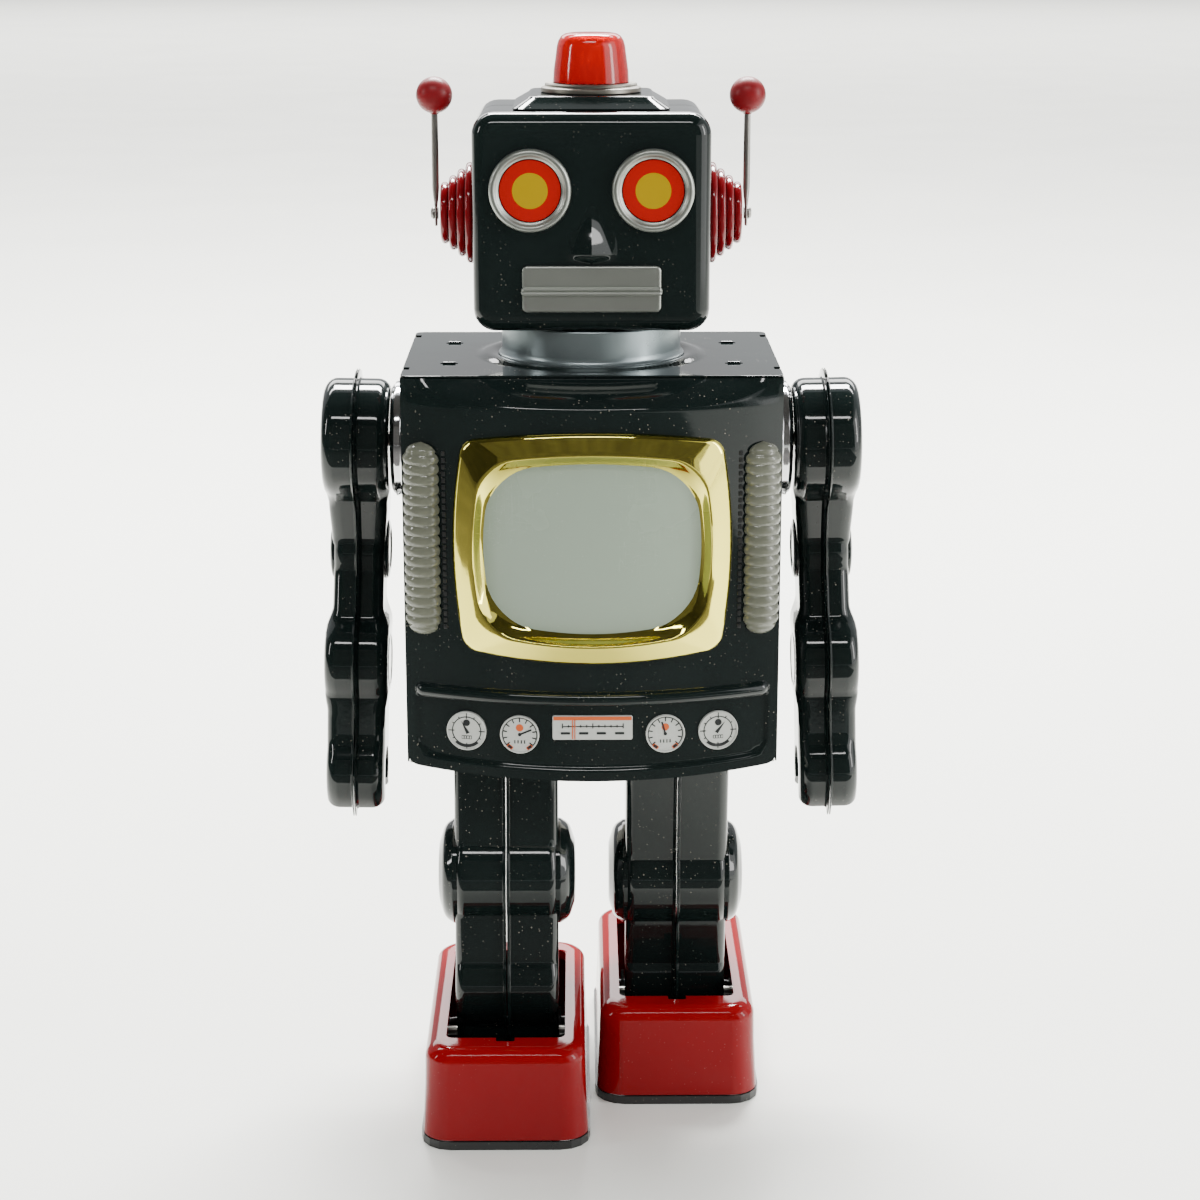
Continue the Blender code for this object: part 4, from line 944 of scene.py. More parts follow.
# ---------------------------------------------------------------- studio
@dataclass
class Studio:
    """The pale table, the soft lights, the dark flags that the gloss mirrors, and the camera."""

    key: float = 84.0
    strip: float = 9.0

    def floor(self) -> None:
        """A wide pale table top with faint clouds and rubbing marks."""
        table = Work("table_top")
        table.slab(slab(16, 16, 0.5), -0.02, 0.0, Facing.Z)
        table.bevel(lambda p, n: p.z > -0.001, 0.004, 2)
        finish = Finish("table_white", (0.78, 0.785, 0.735), 0.42, cloud=0.025, cloud_cells=3, scratch=0.2,
                        grain=0.00002)
        table.paint(finish.material())
        table.merge()
        table.rest()

    def flag(self, name: str, low: Spot, high: Spot, grey: float) -> None:
        """A dark card that only shows in glossy reflections.

        Args:
            name: The card's name.
            low: Its lowest corner.
            high: Its highest corner.
            grey: How pale it is.
        """
        card = Work(name).box(low, high)
        card.bevel(lambda p, n: True, 0.002, 1)
        finish = Finish(name + "_cloth", (grey, grey * 0.95, grey * 0.9), 0.9, cloud=0.5, cloud_cells=5)
        card.paint(finish.material())
        card.merge()
        card.rest()
        card.obj.visible_camera = card.obj.visible_diffuse = card.obj.visible_shadow = False
        card.obj.visible_transmission = False

    def lamp(self, name: str, place: Spot, target: Spot, size: Flat, power: float) -> None:
        """A rectangular soft light aimed at a point.

        Args:
            name: The light's name.
            place: Where it hangs.
            target: What it points at.
            size: Its width and height.
            power: Watts.
        """
        light = bpy.data.lights.new(name, "AREA")
        light.shape = "RECTANGLE"
        light.size, light.size_y = size
        light.energy = power
        light.color = (1.0, 0.995, 0.98)
        holder = bpy.data.objects.new(name, light)
        bpy.context.scene.collection.objects.link(holder)
        holder.location = place
        holder.rotation_euler = (Vector(target) - Vector(place)).to_track_quat("-Z", "Y").to_euler()
        holder.visible_camera = False

    def world(self) -> None:
        """An even pale sky."""
        world = bpy.data.worlds.new("pale_sky")
        bpy.context.scene.world = world
        world.use_nodes = True
        background = world.node_tree.nodes["Background"]
        background.inputs["Color"].default_value = (0.97, 0.985, 1.0, 1)
        background.inputs["Strength"].default_value = 0.8

    def camera(self) -> None:
        """The camera, level with the head and looking a little down."""
        lens = bpy.data.cameras.new("camera")
        lens.lens, lens.sensor_width = 75.0, 36
        holder = bpy.data.objects.new("camera", lens)
        bpy.context.scene.collection.objects.link(holder)
        holder.location = (-0.0045, -0.8478, 0.4122)
        holder.rotation_euler = (math.radians(74.54), 0, math.radians(-0.5))
        bpy.context.scene.camera = holder

    def build(self) -> None:
        """Sets the studio up."""
        self.floor()
        self.flag("floor_flag", (-3, -4.5, 0.002), (0.62, -0.225, 0.004), 0.06)
        self.flag("room_flag", (-3, -3.2, 0.1), (3, -3.1, 2.6), 0.06)
        self.flag("left_flag", (-2.6, -3.2, 0.02), (-2.5, 1.0, 2.6), 0.02)
        self.flag("ceiling_flag", (-2.6, -3.2, 2.65), (2.0, 0.9, 2.7), 0.02)
        self.lamp("overhead", (0.05, 0.95, 1.5), (0, 0.05, 0.1), (0.9, 0.36), self.key * 1.25)
        self.lamp("right_card", (1.7, -0.6, 0.7), (0, 0, 0.2), (1.6, 1.6), 17.0)
        self.lamp("back_wash", (0, 1.3, 2.3), (0, 3.4, 0.0), (3.0, 0.8), self.key * 3.6)
        self.lamp("far_wash", (0, 8.0, 4.0), (0, 8.0, 0.0), (10.0, 5.0), self.key * 16)
        self.lamp("front_overhead", (-0.1, -1.0, 1.5), (0, 0, 0.2), (1.0, 0.10), self.strip * 0.8)
        self.lamp("right_window", (1.5, -0.5, 0.7), (0, 0, 0.2), (0.25, 0.9), self.strip)
        self.lamp("left_window", (-1.5, -0.4, 0.8), (0, 0, 0.2), (0.08, 0.6), self.strip * 0.5)
        self.world()
        self.camera()


# ---------------------------------------------------------------- torso
@dataclass
class Torso:
    """The box of the body: bowed front panel with its console, sides and back, and the top plate."""

    half: float = TORSO_HALF
    corner: float = 0.006
    drop: float = 0.0018
    ridge_z: float = 0.1545
    ridge_half: float = 0.0605
    ridge_width: float = 0.0024
    ridge_height: float = 0.0024
    console_half: float = 0.0600
    console_bottom: float = 0.1312
    console_top: float = 0.1518
    console_depth: float = 0.0013
    ring_radius: float = 0.0380

    def panel(self) -> None:
        """The front panel: a flat blank, scored, walled and pressed into its bow, brow, ridge and console."""
        half = self.half * 0.999
        points = [(half, EAVES, 0), (-half, EAVES, 0), (-half, TORSO_BOTTOM, 0.004)]
        low = rounded(points + [(-half + 0.01, TORSO_BOTTOM - self.sag(half - 0.01), 0)], 6, closed=False)[:-1]
        bottom = [(x, TORSO_BOTTOM - self.sag(x)) for x in (half * (k / 16 - 1) * 0.9 for k in range(33))]
        right = [(-a, b) for a, b in low[:1:-1]]
        panel = Work("front_panel_pressed")
        outline = low + bottom + right
        made = panel.trace([lay(Facing.Y, a, b, TORSO_FRONT) for a, b in outline])
        panel.pick_order(set(made))
        bpy.ops.mesh.edge_face_add()
        panel.score(Facing.X, [half * (k / 32 - 1) for k in range(1, 64)])
        rows = [0.1275 + 0.0004 * k for k in range(0, 18)] + [0.135 + 0.0025 * k for k in range(6)]
        rows += [0.1495 + 0.00035 * k for k in range(24)] + [0.159 + 0.0035 * k for k in range(27)]
        rows += [0.2525 + 0.0005 * k for k in range(19)]
        panel.score(Facing.Z, [z for z in rows if z < EAVES - 0.0002])
        panel.score(Facing.X, [s * (self.console_half + 0.0004 * k) for s in (-1, 1) for k in range(-3, 7)])
        panel.wall(TIN, -1.0)
        if sum(v.co.y for v in panel.obj.data.vertices) / len(panel.obj.data.vertices) < TORSO_FRONT:
            panel.move(Matrix.Translation((0, TIN, 0)))
        hole = Work("screen_hole").slab(ScreenUnit().outline(0.0064), -0.05, 0.0, Facing.Y)
        panel.combine(hole, "DIFFERENCE")
        panel.press(Facing.Y, -0.015, lambda p: panel_bow(p.x, p.z))
        panel.press(Facing.Y, self.console_depth, self.console)
        panel.press(Facing.Y, -self.ridge_height, self.ridge)
        panel.done("torso", "black", BLACK, ["front_panel"], smooth=28)

    def sag(self, x: float) -> float:
        """How far the lower edge hangs down at x."""
        return self.drop * (1 - (x / self.half) ** 2)

    def console(self, p: Vector) -> float:
        """The sunk console: a soft-edged field with round lower corners."""
        low = self.console_bottom - self.sag(p.x)
        dx = max(abs(p.x) - self.console_half + 0.006, 0)
        dz = max(low + 0.006 - p.z, 0)
        out = math.hypot(dx, dz) - 0.006
        return ease(-out, -0.0009, 0.0011) * ease(self.console_top + 0.0012 - p.z, 0, 0.0012)

    def ridge(self, p: Vector) -> float:
        """The raised bead over the console, with round ends."""
        past = max(abs(p.x) - self.ridge_half + self.ridge_width, 0)
        return bump(math.hypot(past, p.z - self.ridge_z), self.ridge_width)

    def shell(self) -> None:
        """Sides and back in one folded sheet, with the shaft holes, the door's opening and the switch slot."""
        front = TORSO_FRONT + 2 * SEAT + TIN
        back, half, corner = TORSO_BACK, self.half, self.corner
        right = arc((half - corner, back - corner), corner, 0, 90, 8)
        left = arc((corner - half, back - corner), corner, 90, 180, 8)
        inner = corner - TIN
        outline = [(half, front)] + right + left + [(-half, front), (TIN - half, front)]
        outline += arc((corner - half, back - corner), inner, 180, 90, 8)
        outline += arc((half - corner, back - corner), inner, 90, 0, 8) + [(half - TIN, front)]
        shell = Work("torso_wrap").slab(outline, TORSO_BOTTOM, EAVES, Facing.Z)
        tools = Work("torso_wrap_tools")
        for opening in (slab(0.029, 0.028, 0.002, (0, 0.178)), slab(0.0048, 0.0015, 0.0008, (0.033, 0.232))):
            tools.slab(opening, back - 0.004, back + 0.004, Facing.Y)
        tools.turned(rod(0.0029, -0.08, 0.08), Facing.X, (0, TORSO_Y, 0.232), 24)
        shell.combine(tools, "DIFFERENCE")
        shell.done("torso", "black", BLACK, ["torso_shell"])

    def top(self) -> None:
        """The top plate with a raised ring round the neck, four slots and the corner cuts."""
        depth = (TORSO_BACK - TORSO_FRONT) / 2 - 0.0001
        plate = Work("top_plate_pressed").slab(slab(self.half - 0.0001, depth, 0.003, (0, TORSO_Y)),
                                               TORSO_TOP - TIN, TORSO_TOP, Facing.Z)
        plate.bevel(lambda p, n: p.z > TORSO_TOP - 0.00001, 0.00025, 2)
        step = [-0.042 + 0.0014 * k for k in range(61)]
        plate.score(Facing.X, step)
        plate.score(Facing.Y, [TORSO_Y + s for s in step])
        tools = Work("top_plate_tools")
        for x, y in self.slots():
            tools.box((x - 0.0030, y - 0.0010, TORSO_TOP - 0.01), (x + 0.0030, y + 0.0010, TORSO_TOP + 0.01))
        for x, y in ((0.0628, 0.0525), (0.0630, -0.0132)):
            for side in (-1, 1):
                tools.box((side * x - 0.0014, y - 0.0022, 0.25), (side * x + 0.0014, y + 0.0022, 0.27))
        tools.turned(rod(0.007, 0.25, 0.27), Facing.Z, (0, TORSO_Y, 0), 24)
        plate.combine(tools, "DIFFERENCE")
        plate.press(Facing.Z, 0.0009, self.neck_ring)
        plate.done("torso", "black", BLACK, ["top_plate"])
        tabs = Work("top_plate_tabs")
        for x, y in self.slots():
            tabs.box((x - 0.0022, y - 0.0007, TORSO_TOP - 0.0032), (x + 0.0022, y + 0.0001, TORSO_TOP + 0.0007))
        tabs.bevel(lambda p, n: p.z > TORSO_TOP, 0.0003, 2)
        tabs.done("torso", "black", BLACK)

    def slots(self) -> list[Flat]:
        """Where the folded tabs come through the top plate."""
        return [(s * 0.0486, TORSO_Y + y) for s in (-1, 1) for y in (0.020, -0.0216)]

    def neck_ring(self, p: Vector) -> float:
        """The share of the press that raises the ring round the neck."""
        away = math.hypot(p.x, p.y - TORSO_Y)
        return ease(self.ring_radius + 0.0012 - away, 0, 0.0024) * ease(away - 0.0318, 0, 0.002)

    def build(self) -> None:
        """Makes the torso's pieces."""
        self.panel()
        self.shell()
        self.top()


@dataclass
class ScreenUnit:
    """The gold bezel, the milky screen and the two ribbed light strips."""

    z: float = 0.2067
    half_width: float = 0.0470
    half_height: float = 0.0396
    bow: float = 0.0037
    strip_x: float = 0.0571
    strip_z: float = 0.2077
    strip_half: float = 0.0334
    ribs: int = 19

    def outline(self, inset: float, corner: float = 0.0042) -> list[Flat]:
        """The bezel's barrel-shaped outline in x and z.

        Args:
            inset: How far in from the outer edge.
            corner: Radius of the outer edge's corners; it grows inwards.

        Returns:
            The outline.
        """
        wide, tall = self.half_width - self.bow - inset, self.half_height - self.bow - inset
        radius = corner + inset * 0.85
        corners: list[Flat] = []
        for turn, across, up in ((0, 1, 1), (90, -1, 1), (180, -1, -1), (270, 1, -1)):
            corners += arc((across * (wide - radius), up * (tall - radius)), radius, turn, turn + 90, 8)
        points: list[Flat] = []
        for k, (x, z) in enumerate(corners):
            points.append((x, z))
            if k % 9 == 8:
                ahead = corners[(k + 1) % len(corners)]
                points += [(x + (ahead[0] - x) * i / 12, z + (ahead[1] - z) * i / 12) for i in range(1, 12)]
        return [(x * (1 + self.bow / wide * (1 - (z / tall) ** 2)),
                 self.z + z * (1 + self.bow / tall * (1 - (x / wide) ** 2))) for x, z in points]

    def bezel(self) -> None:
        """A broad gold frame that leans outwards all round, falling to a bright lip inside."""
        stations = ((0.0, -SEAT), (0.0, 0.0004), (0.0002, 0.0012), (0.0006, 0.0018), (0.0012, 0.0021), (0.0032, 0.0029),
                    (0.0052, 0.0037), (0.0064, 0.0042), (0.0069, 0.0043), (0.0073, 0.0040), (0.0080, 0.0029),
                    (0.0092, 0.0012), (0.0100, 0.0004), (0.0105, 0.0001), (0.0106, -0.0002), (0.0103, -0.0004),
                    (0.0060, -SEAT))
        loops = []
        for inset, out in stations:
            loops.append([Vector((x, panel_y(x) - out, z)) for x, z in self.outline(inset)])
        Work("gold_bezel").loft(loops, ring=True).done("torso", "gold", GOLD, ["screen_bezel"], smooth=50)

    def screen(self) -> None:
        """The crowned milky screen."""
        loops = []
        for back, share in ((1, 0.04), (1, 0.6), (1, 1.0), (0, 1.0), (0, 0.97), (0, 0.9), (0, 0.8), (0, 0.68),
                            (0, 0.54), (0, 0.4), (0, 0.26), (0, 0.12)):
            crown = 0.0026 * (1 - share**2)
            ring = [(x * share, self.z + (z - self.z) * share) for x, z in self.outline(0.0072)]
            loops.append([Vector((x, panel_y(x) + 0.0004 - crown + back * 0.0012, z)) for x, z in ring])
        screen = Work("milky_screen_pane").loft(loops, End.POINT, End.POINT)
        screen.done("torso", "screen", MILK, ["screen"], smooth=60)

    def strips(self) -> None:
        """A turned ribbed bar with round ends, flattened, trimmed behind and laid on the panel, with a row of painted
        shade blocks along its inner edge.
        """
        half, radius = self.strip_half, 0.0066
        profile: list[Flat] = [(0.0, -half)]
        steps = self.ribs * 6
        for k in range(steps + 1):
            z = half * (2 * k / steps - 1) * 0.995
            end = max(abs(z) - (half - radius), 0.0)
            full = math.sqrt(max(radius**2 - end**2, 0))
            groove = 1 - abs(math.sin(math.pi * k / 6))
            profile.append((max(full - 0.00070 * groove**1.4, 0.0006), z))
        profile.append((0.0, half))
        strip = Work("light_strip_ribbed_left").turned(profile, Facing.Z, (0, 0, 0), 36)
        bpy.ops.transform.resize(value=(1, 0.82, 1), center_override=(0, 0, 0))
        keep = Work("strip_trim").box((-0.01, -0.01, -0.04), (0.01, -0.0001, 0.04))
        strip.combine(keep, "INTERSECT")
        slope = math.atan2(panel_y(self.strip_x + 0.006) - panel_y(self.strip_x - 0.006), 0.012)
        strip.move(Matrix.Translation((self.strip_x, panel_y(self.strip_x) - 0.0003, self.strip_z))
                   @ Matrix.Rotation(slope, 4, "Z"))
        other = strip.twin("light_strip_ribbed_right")
        strip.done("torso", "strip", CLEAR, ["light_strip_left"], smooth=60)
        other.done("torso", "strip", CLEAR, ["light_strip_right"], smooth=60)
        # A row of small matte dark blocks along each strip's inner edge: painted shade in the gap between the strip and
        # the panel.
        gap_shade = Work("strip_edging_left")
        for k in range(27):
            z = self.strip_z + (k - 13) * 0.0023
            x = self.strip_x - 0.0074
            gap_shade.box((x - 0.0007, panel_y(x) - 0.0006, z - 0.00075), (x + 0.0006, panel_y(x) + 0.0004, z + 0.00075))
        gap_shade.bevel(lambda p, n: True, 0.0002, 1)
        twin = gap_shade.twin("strip_edging_right")
        gap_shade.done("torso", "black", SHADE)
        twin.done("torso", "black", SHADE)

    def build(self) -> None:
        """Makes the screen's pieces."""
        self.bezel()
        self.screen()
        self.strips()


# ---------------------------------------------------------------- dials
@dataclass
class Dial:
    """A round or long dial set flat in the console: white plate, black marks and orange accents."""

    x: float
    z: float
    radius: float
    needle: float = 90.0

    def place(self) -> Matrix:
        """From the dial's own drawing to its place on the bowed console, facing forward."""
        slope = math.atan2(panel_y(self.x + 0.003) - panel_y(self.x - 0.003), 0.006)
        y = panel_y(self.x) + Torso.console_depth - 0.0006 - abs(math.sin(slope) * self.radius) * 0.35
        return Matrix.Translation((self.x, y, self.z)) @ Matrix.Rotation(slope * 0.6, 4, "Z")

    def mark(self, work: Work, finish: Finish, outline: Sequence[Flat], lift: float = 0.00008) -> None:
        """Lays a thin printed mark on the plate.

        Args:
            work: The dial being made.
            finish: The mark's finish.
            outline: Its outline in the dial's own x and z.
            lift: Its height over the plate.
        """
        since = work.size()
        work.slab(outline, -lift, 0.00005, Facing.Y)
        work.paint(finish.material(), since)

    def line(self, a: Flat, b: Flat, width: float) -> list[Flat]:
        """Outline of a straight stroke between two points.

        Args:
            a: Its start.
            b: Its end.
            width: Its width.

        Returns:
            The outline.
        """
        run = (Vector(b) - Vector(a)).normalized() * (width / 2)
        side = Vector((-run.y, run.x))
        ends = [Vector(a) - side, Vector(b) - side, Vector(b) + side, Vector(a) + side]
        return [(p.x, p.y) for p in ends]

    def spoke(self, angle: float, inner: float, outer: float, width: float) -> list[Flat]:
        """Outline of a stroke that runs outwards at an angle."""
        turn = math.radians(angle)
        way = Vector((math.cos(turn), math.sin(turn)))
        return self.line(tuple(way * inner), tuple(way * outer), width)

    def band(self, work: Work, radius: float, width: float, start: float, end: float) -> None:
        """Lays a curved black stroke, made of short straight ones.

        Args:
            work: The dial being made.
            radius: Radius of its middle line.
            width: Its width.
            start: Its first angle, in degrees.
            end: Its last angle.
        """
        steps = max(int(abs(end - start) / 10), 3)
        inner, outer = (arc((0, 0), radius + way * width / 2, start, end, steps) for way in (-1, 1))
        for a, b, c, d in zip(inner, inner[1:], outer[1:], outer):
            self.mark(work, INK, [a, b, c, d])

    def plate(self, name: str) -> Work:
        """The round plate with its raised rim."""
        r = self.radius
        work = Work(name)
        work.turned([(0, -0.0008), (r, -0.0008), (r, 0.0003), (r - 0.0002, 0.0005), (r - 0.00045, 0.0003),
                     (r - 0.0005, 0), (0, 0)], Facing.Y, (0, 0, 0), 56, way=-1)
        return work.paint(DIAL.material())

    def finish(self, work: Work) -> None:
        """Puts the dial in its place."""
        work.move(self.place())
        work.done("torso", "silver", smooth=40)


@dataclass
class MeterDial(Dial):
    """An outer dial: ring scale, needle, pivot dot, counter cells and a dark arc."""

    def build(self, name: str) -> None:
        """Makes the dial.

        Args:
            name: Name of the piece.
        """
        r = self.radius
        work = self.plate(name)
        self.band(work, r * 0.72, 0.00034, 0, 360)
        self.band(work, r * 0.95, 0.00026, 0, 360)
        for k in range(12):
            inner, outer = (0.70, 0.82) if k % 3 else (0.62, 0.93)
            self.mark(work, INK, self.spoke(30 * k, r * inner, r * outer, 0.00034))
        self.band(work, r * 0.80, 0.0008, 226, 314)
        self.mark(work, INK, arc((0, r * 0.42), 0.0012, 0, 345, 14), 0.00010)
        turn = math.radians(self.needle)
        way = Vector((math.cos(turn), math.sin(turn)))
        tail, side = way * -0.001, Vector((way.y, -way.x)) * 0.0006
        self.mark(work, INK, [tuple(tail + side), tuple(way * r * 0.56), tuple(tail - side)], 0.00016)
        for k in range(4):
            x = (k - 1.5) * 0.00088
            self.mark(work, INK, slab(0.00042, 0.00062, 0.0001, (x, -r * 0.33), 1), 0.00009)
            self.mark(work, DIAL, slab(0.00026, 0.00044, 0.0001, (x, -r * 0.33), 1), 0.00013)
        self.finish(work)


@dataclass
class GaugeDial(Dial):
    """An inner dial: an arc of ticks, an orange dot, a needle, four small marks and two orange blocks."""

    def build(self, name: str) -> None:
        """Makes the dial.

        Args:
            name: Name of the piece.
        """
        r = self.radius
        work = self.plate(name)
        self.band(work, r * 0.88, 0.00030, -40, 220)
        for k in range(11):
            angle = -40 + 26 * k
            self.mark(work, INK, self.spoke(angle, r * 0.66, r * 0.88, 0.00040), 0.00010)
        self.mark(work, ORANGE, arc((0, r * 0.36), 0.0013, 0, 345, 14), 0.00009)
        self.mark(work, INK, self.spoke(self.needle, -0.0005, r * 0.66, 0.0006), 0.00014)
        self.mark(work, INK, arc((0, 0), 0.0006, 0, 345, 10), 0.00016)
        for k in range(4):
            x = (k - 1.5) * 0.0011
            self.mark(work, INK, self.line((x, -r * 0.30), (x, -r * 0.48), 0.00036))
        for side in (-1, 1):
            centre = Vector((side * r * 0.50, -r * 0.66))
            for half, finish, lift in ((0.0011, ORANGE, 0.00009), (0.0008, INK, 0.00012)):
                tilt = Matrix.Rotation(side * math.radians(38), 2)
                box = [tilt @ Vector(p) for p in slab(half, half * 0.55, 0.0001, (0, 0), 1)]
                self.mark(work, finish, [(centre.x + p.x, centre.y + p.y) for p in box], lift)
        self.finish(work)


@dataclass
class ScaleDial(Dial):
    """The long middle dial: an orange band, a tick line, dashes and an upright orange pointer."""

    half: float = 0.0136
    height: float = 0.0043

    def build(self, name: str) -> None:
        """Makes the dial.

        Args:
            name: Name of the piece.
        """
        work = Work(name)
        h, v = self.half, self.height
        work.slab(slab(h, v, 0.0007), 0, 0.0009, Facing.Y)
        work.bevel(lambda p, n: p.y < 0.00005, 0.0003, 2)
        work.paint(DIAL.material())
        self.mark(work, ORANGE, slab(h - 0.0003, 0.00065, 0.0002, (0, v - 0.0009), 2))
        self.mark(work, INK, self.line((-0.0102, 0.0005), (0.0104, 0.0005), 0.00034))
        for k in range(11):
            x = -0.0102 + 0.00206 * k
            tall = 0.0011 if k % 5 == 0 else 0.0006
            self.mark(work, INK, self.line((x, 0.0005 - tall * 0.6), (x, 0.0005 + tall), 0.00036), 0.00010)
        for x in (-0.0092, -0.0030, 0.0030, 0.0092):
            self.mark(work, INK, slab(0.0016, 0.00042, 0.0002, (x, -0.0019), 2))
        for x in (-0.0068, -0.0060):
            self.mark(work, ORANGE, self.line((x, -v + 0.0003), (x, v - 0.0004), 0.00036), 0.00014)
        self.finish(work)


@dataclass
class Head:
    """The pressed head: two shells with a nose, the plinth on top, the eyes, the mouth plate and the neck."""

    half: float = 0.03975
    bottom: float = 0.2749
    top: float = 0.3477
    depth: float = 0.033
    corner: float = 0.0075
    roll: float = 0.0056
    eye_x: float = 0.0204
    eye_z: float = 0.3224

    def shell(self, name: str, way: int) -> Work:
        """Half of the head, a tray with a rolled edge.

        Args:
            name: The piece's name.
            way: -1 for the front and 1 for the rear.

        Returns:
            The closed half.
        """
        middle = (self.bottom + self.top) / 2
        tall = (self.top - self.bottom) / 2
        loops = []
        stations = [(0.0003, SEAT / 2), (0.0, SEAT / 2 + 0.0003), (0.0, 0.012)]
        for k in range(9):
            turn = math.radians(90 * k / 8)
            stations.append((self.roll * (1 - math.cos(turn)), self.depth - self.roll + self.roll * math.sin(turn)))
        for inset, away in stations:
            ring = slab(self.half - inset, tall - inset, max(self.corner - inset, 0.0015), (0, middle), 7)
            loops.append([Vector((x, TORSO_Y + way * away, z)) for x, z in ring])
        return Work(name).loft(loops, End.OPEN, End.FLAT)

    def bores(self, name: str) -> Work:
        """The tool that cuts the holes for the lamp tube, above and below."""
        tools = Work(name)
        for z in (self.bottom, self.top):
            tools.turned(rod(0.0062, z - 0.004, z + 0.004), Facing.Z, (0, TORSO_Y, 0), 24)
        return tools

    def nose(self, p: Vector) -> float:
        """The pressed nose: a ridge that swells downwards, two low wings and a short underside."""
        if p.y > TORSO_Y - self.depth + 0.0004:
            return 0.0
        down = (0.3175 - p.z) / 0.0160
        if down <= 0:
            return 0.0
        if p.z > 0.3015:
            width = 0.0012 + 0.0056 * down
            ridge = max(1 - abs(p.x) / width, 0.0)
            height = ease(down, 0, 0.9)
            wings = 0.28 * ease(down, 0.5, 1.0) * max(1 - (abs(p.x) / 0.0085) ** 2, 0)
            return min(height * (0.9 * ridge**1.15) + wings * (1 - ridge), 1.0)
        under = ease(p.z, 0.2978 + 0.12 * abs(p.x), 0.3015)
        ridge = max(1 - abs(p.x) / 0.0068, 0.0)
        return under * (0.9 * ridge**1.15 + 0.28 * max(1 - (abs(p.x) / 0.0085) ** 2, 0) * (1 - ridge))

    def front(self) -> None:
        """The front shell with its nose, walled and bored behind the eyes."""
        shell = self.shell("head_front_pressed", -1)
        face = TORSO_Y - self.depth

        def cap(p: Vector, n: Vector) -> bool:
            """Whether a place is on the flat of the face."""
            return p.y < face + 0.0001

        def around(p: Vector, n: Vector) -> bool:
            """Whether a place is on the face, round the nose."""
            return cap(p, n) and abs(p.x) < 0.012 and 0.294 < p.z < 0.320

        shell.merge()
        shell.score(Facing.X, (-0.012, 0.012), cap)
        shell.score(Facing.Z, (0.294, 0.320), lambda p, n: cap(p, n) and abs(p.x) < 0.012)
        shell.score(Facing.X, [-0.012 + 0.0005 * k for k in range(1, 48)], around)
        shell.score(Facing.Z, [0.294 + 0.0005 * k for k in range(1, 52)], around)
        shell.wall(TIN, -1.0)
        shell.press(Facing.Y, -0.0046, self.nose)
        tools = self.bores("head_front_tools")
        for side in (-1, 1):
            tools.turned(rod(0.006, -0.006, 0.006), Facing.Y, (side * self.eye_x, face, self.eye_z), 24)
        shell.combine(tools, "DIFFERENCE")
        shell.done("torso", "black", BLACK, ["head_front_shell"], smooth=30)

    def rear(self) -> None:
        """The rear shell."""
        shell = self.shell("head_rear_pressed", 1)
        shell.wall(TIN, -1.0)
        shell.combine(self.bores("head_rear_tools"), "DIFFERENCE")
        shell.done("torso", "black", BLACK, ["head_rear_shell"], smooth=30)

    def plinth(self) -> None:
        """The stepped square plinth under the lamp."""
        low, high = self.top + SEAT, self.top + SEAT + 0.0042
        loops = []
        for half, z, corner in ((0.0262, low, 0.0045), (0.0262, low + 0.0004, 0.0045), (0.0214, high - 0.0009, 0.0035),
                                (0.0209, high - 0.0003, 0.0033), (0.0201, high, 0.003)):
            loops.append([Vector((x, y, z)) for x, y in slab(half, half, corner, (0, TORSO_Y), 6)])
        plinth = Work("lamp_plinth").loft(loops)
        bore = rod(0.0065, low - 0.01, high + 0.01)
        hole = Work("lamp_plinth_bore").turned(bore, Facing.Z, (0, TORSO_Y, 0), 32)
        plinth.combine(hole, "DIFFERENCE")
        plinth.done("torso", "black", BLACK, ["head_plinth"])

    def eyes(self) -> None:
        """Satin rings with a rolled rim and a bevel inside, round red discs with yellow middles."""
        face = TORSO_Y - self.depth - SEAT
        ring = [(0.0105, 0.0), (0.0137, 0.0), (0.0137, 0.0013), (0.0136, 0.0019), (0.0132, 0.0025), (0.0126, 0.0028),
                (0.0120, 0.0027), (0.0116, 0.0023), (0.0112, 0.0018), (0.0108, 0.0016), (0.0105, 0.0014)]
        centre = (self.eye_x, face, self.eye_z)
        left = Work("eye_ring_left").turned(ring, Facing.Y, centre, 72, way=-1, closed=True)
        right = left.twin("eye_ring_right")
        disc = [(0, 0), (0.0102, 0), (0.0102, 0.0011), (0.0100, 0.0013), (0.0059, 0.0014), (0.0059, 0.0014),
                (0, 0.0015)]
        eye = Work("eye_disc_left").turned(disc, Facing.Y, centre, 72, way=-1)
        eye.paint(DISC_RED.material())
        eye.paint(DISC_YELLOW.material(), 0,
                  lambda p, n: p.y < face - 0.001 and math.hypot(p.x - self.eye_x, p.z - self.eye_z) < 0.0056)
        other = eye.twin("eye_disc_right")
        for side, piece, plate in (("left", left, eye), ("right", right, other)):
            piece.done("torso", "silver", SATIN, ["eye_bezel_" + side], smooth=40)
            plate.done("torso", "eye", None, ["eye_lens_" + side], smooth=40)

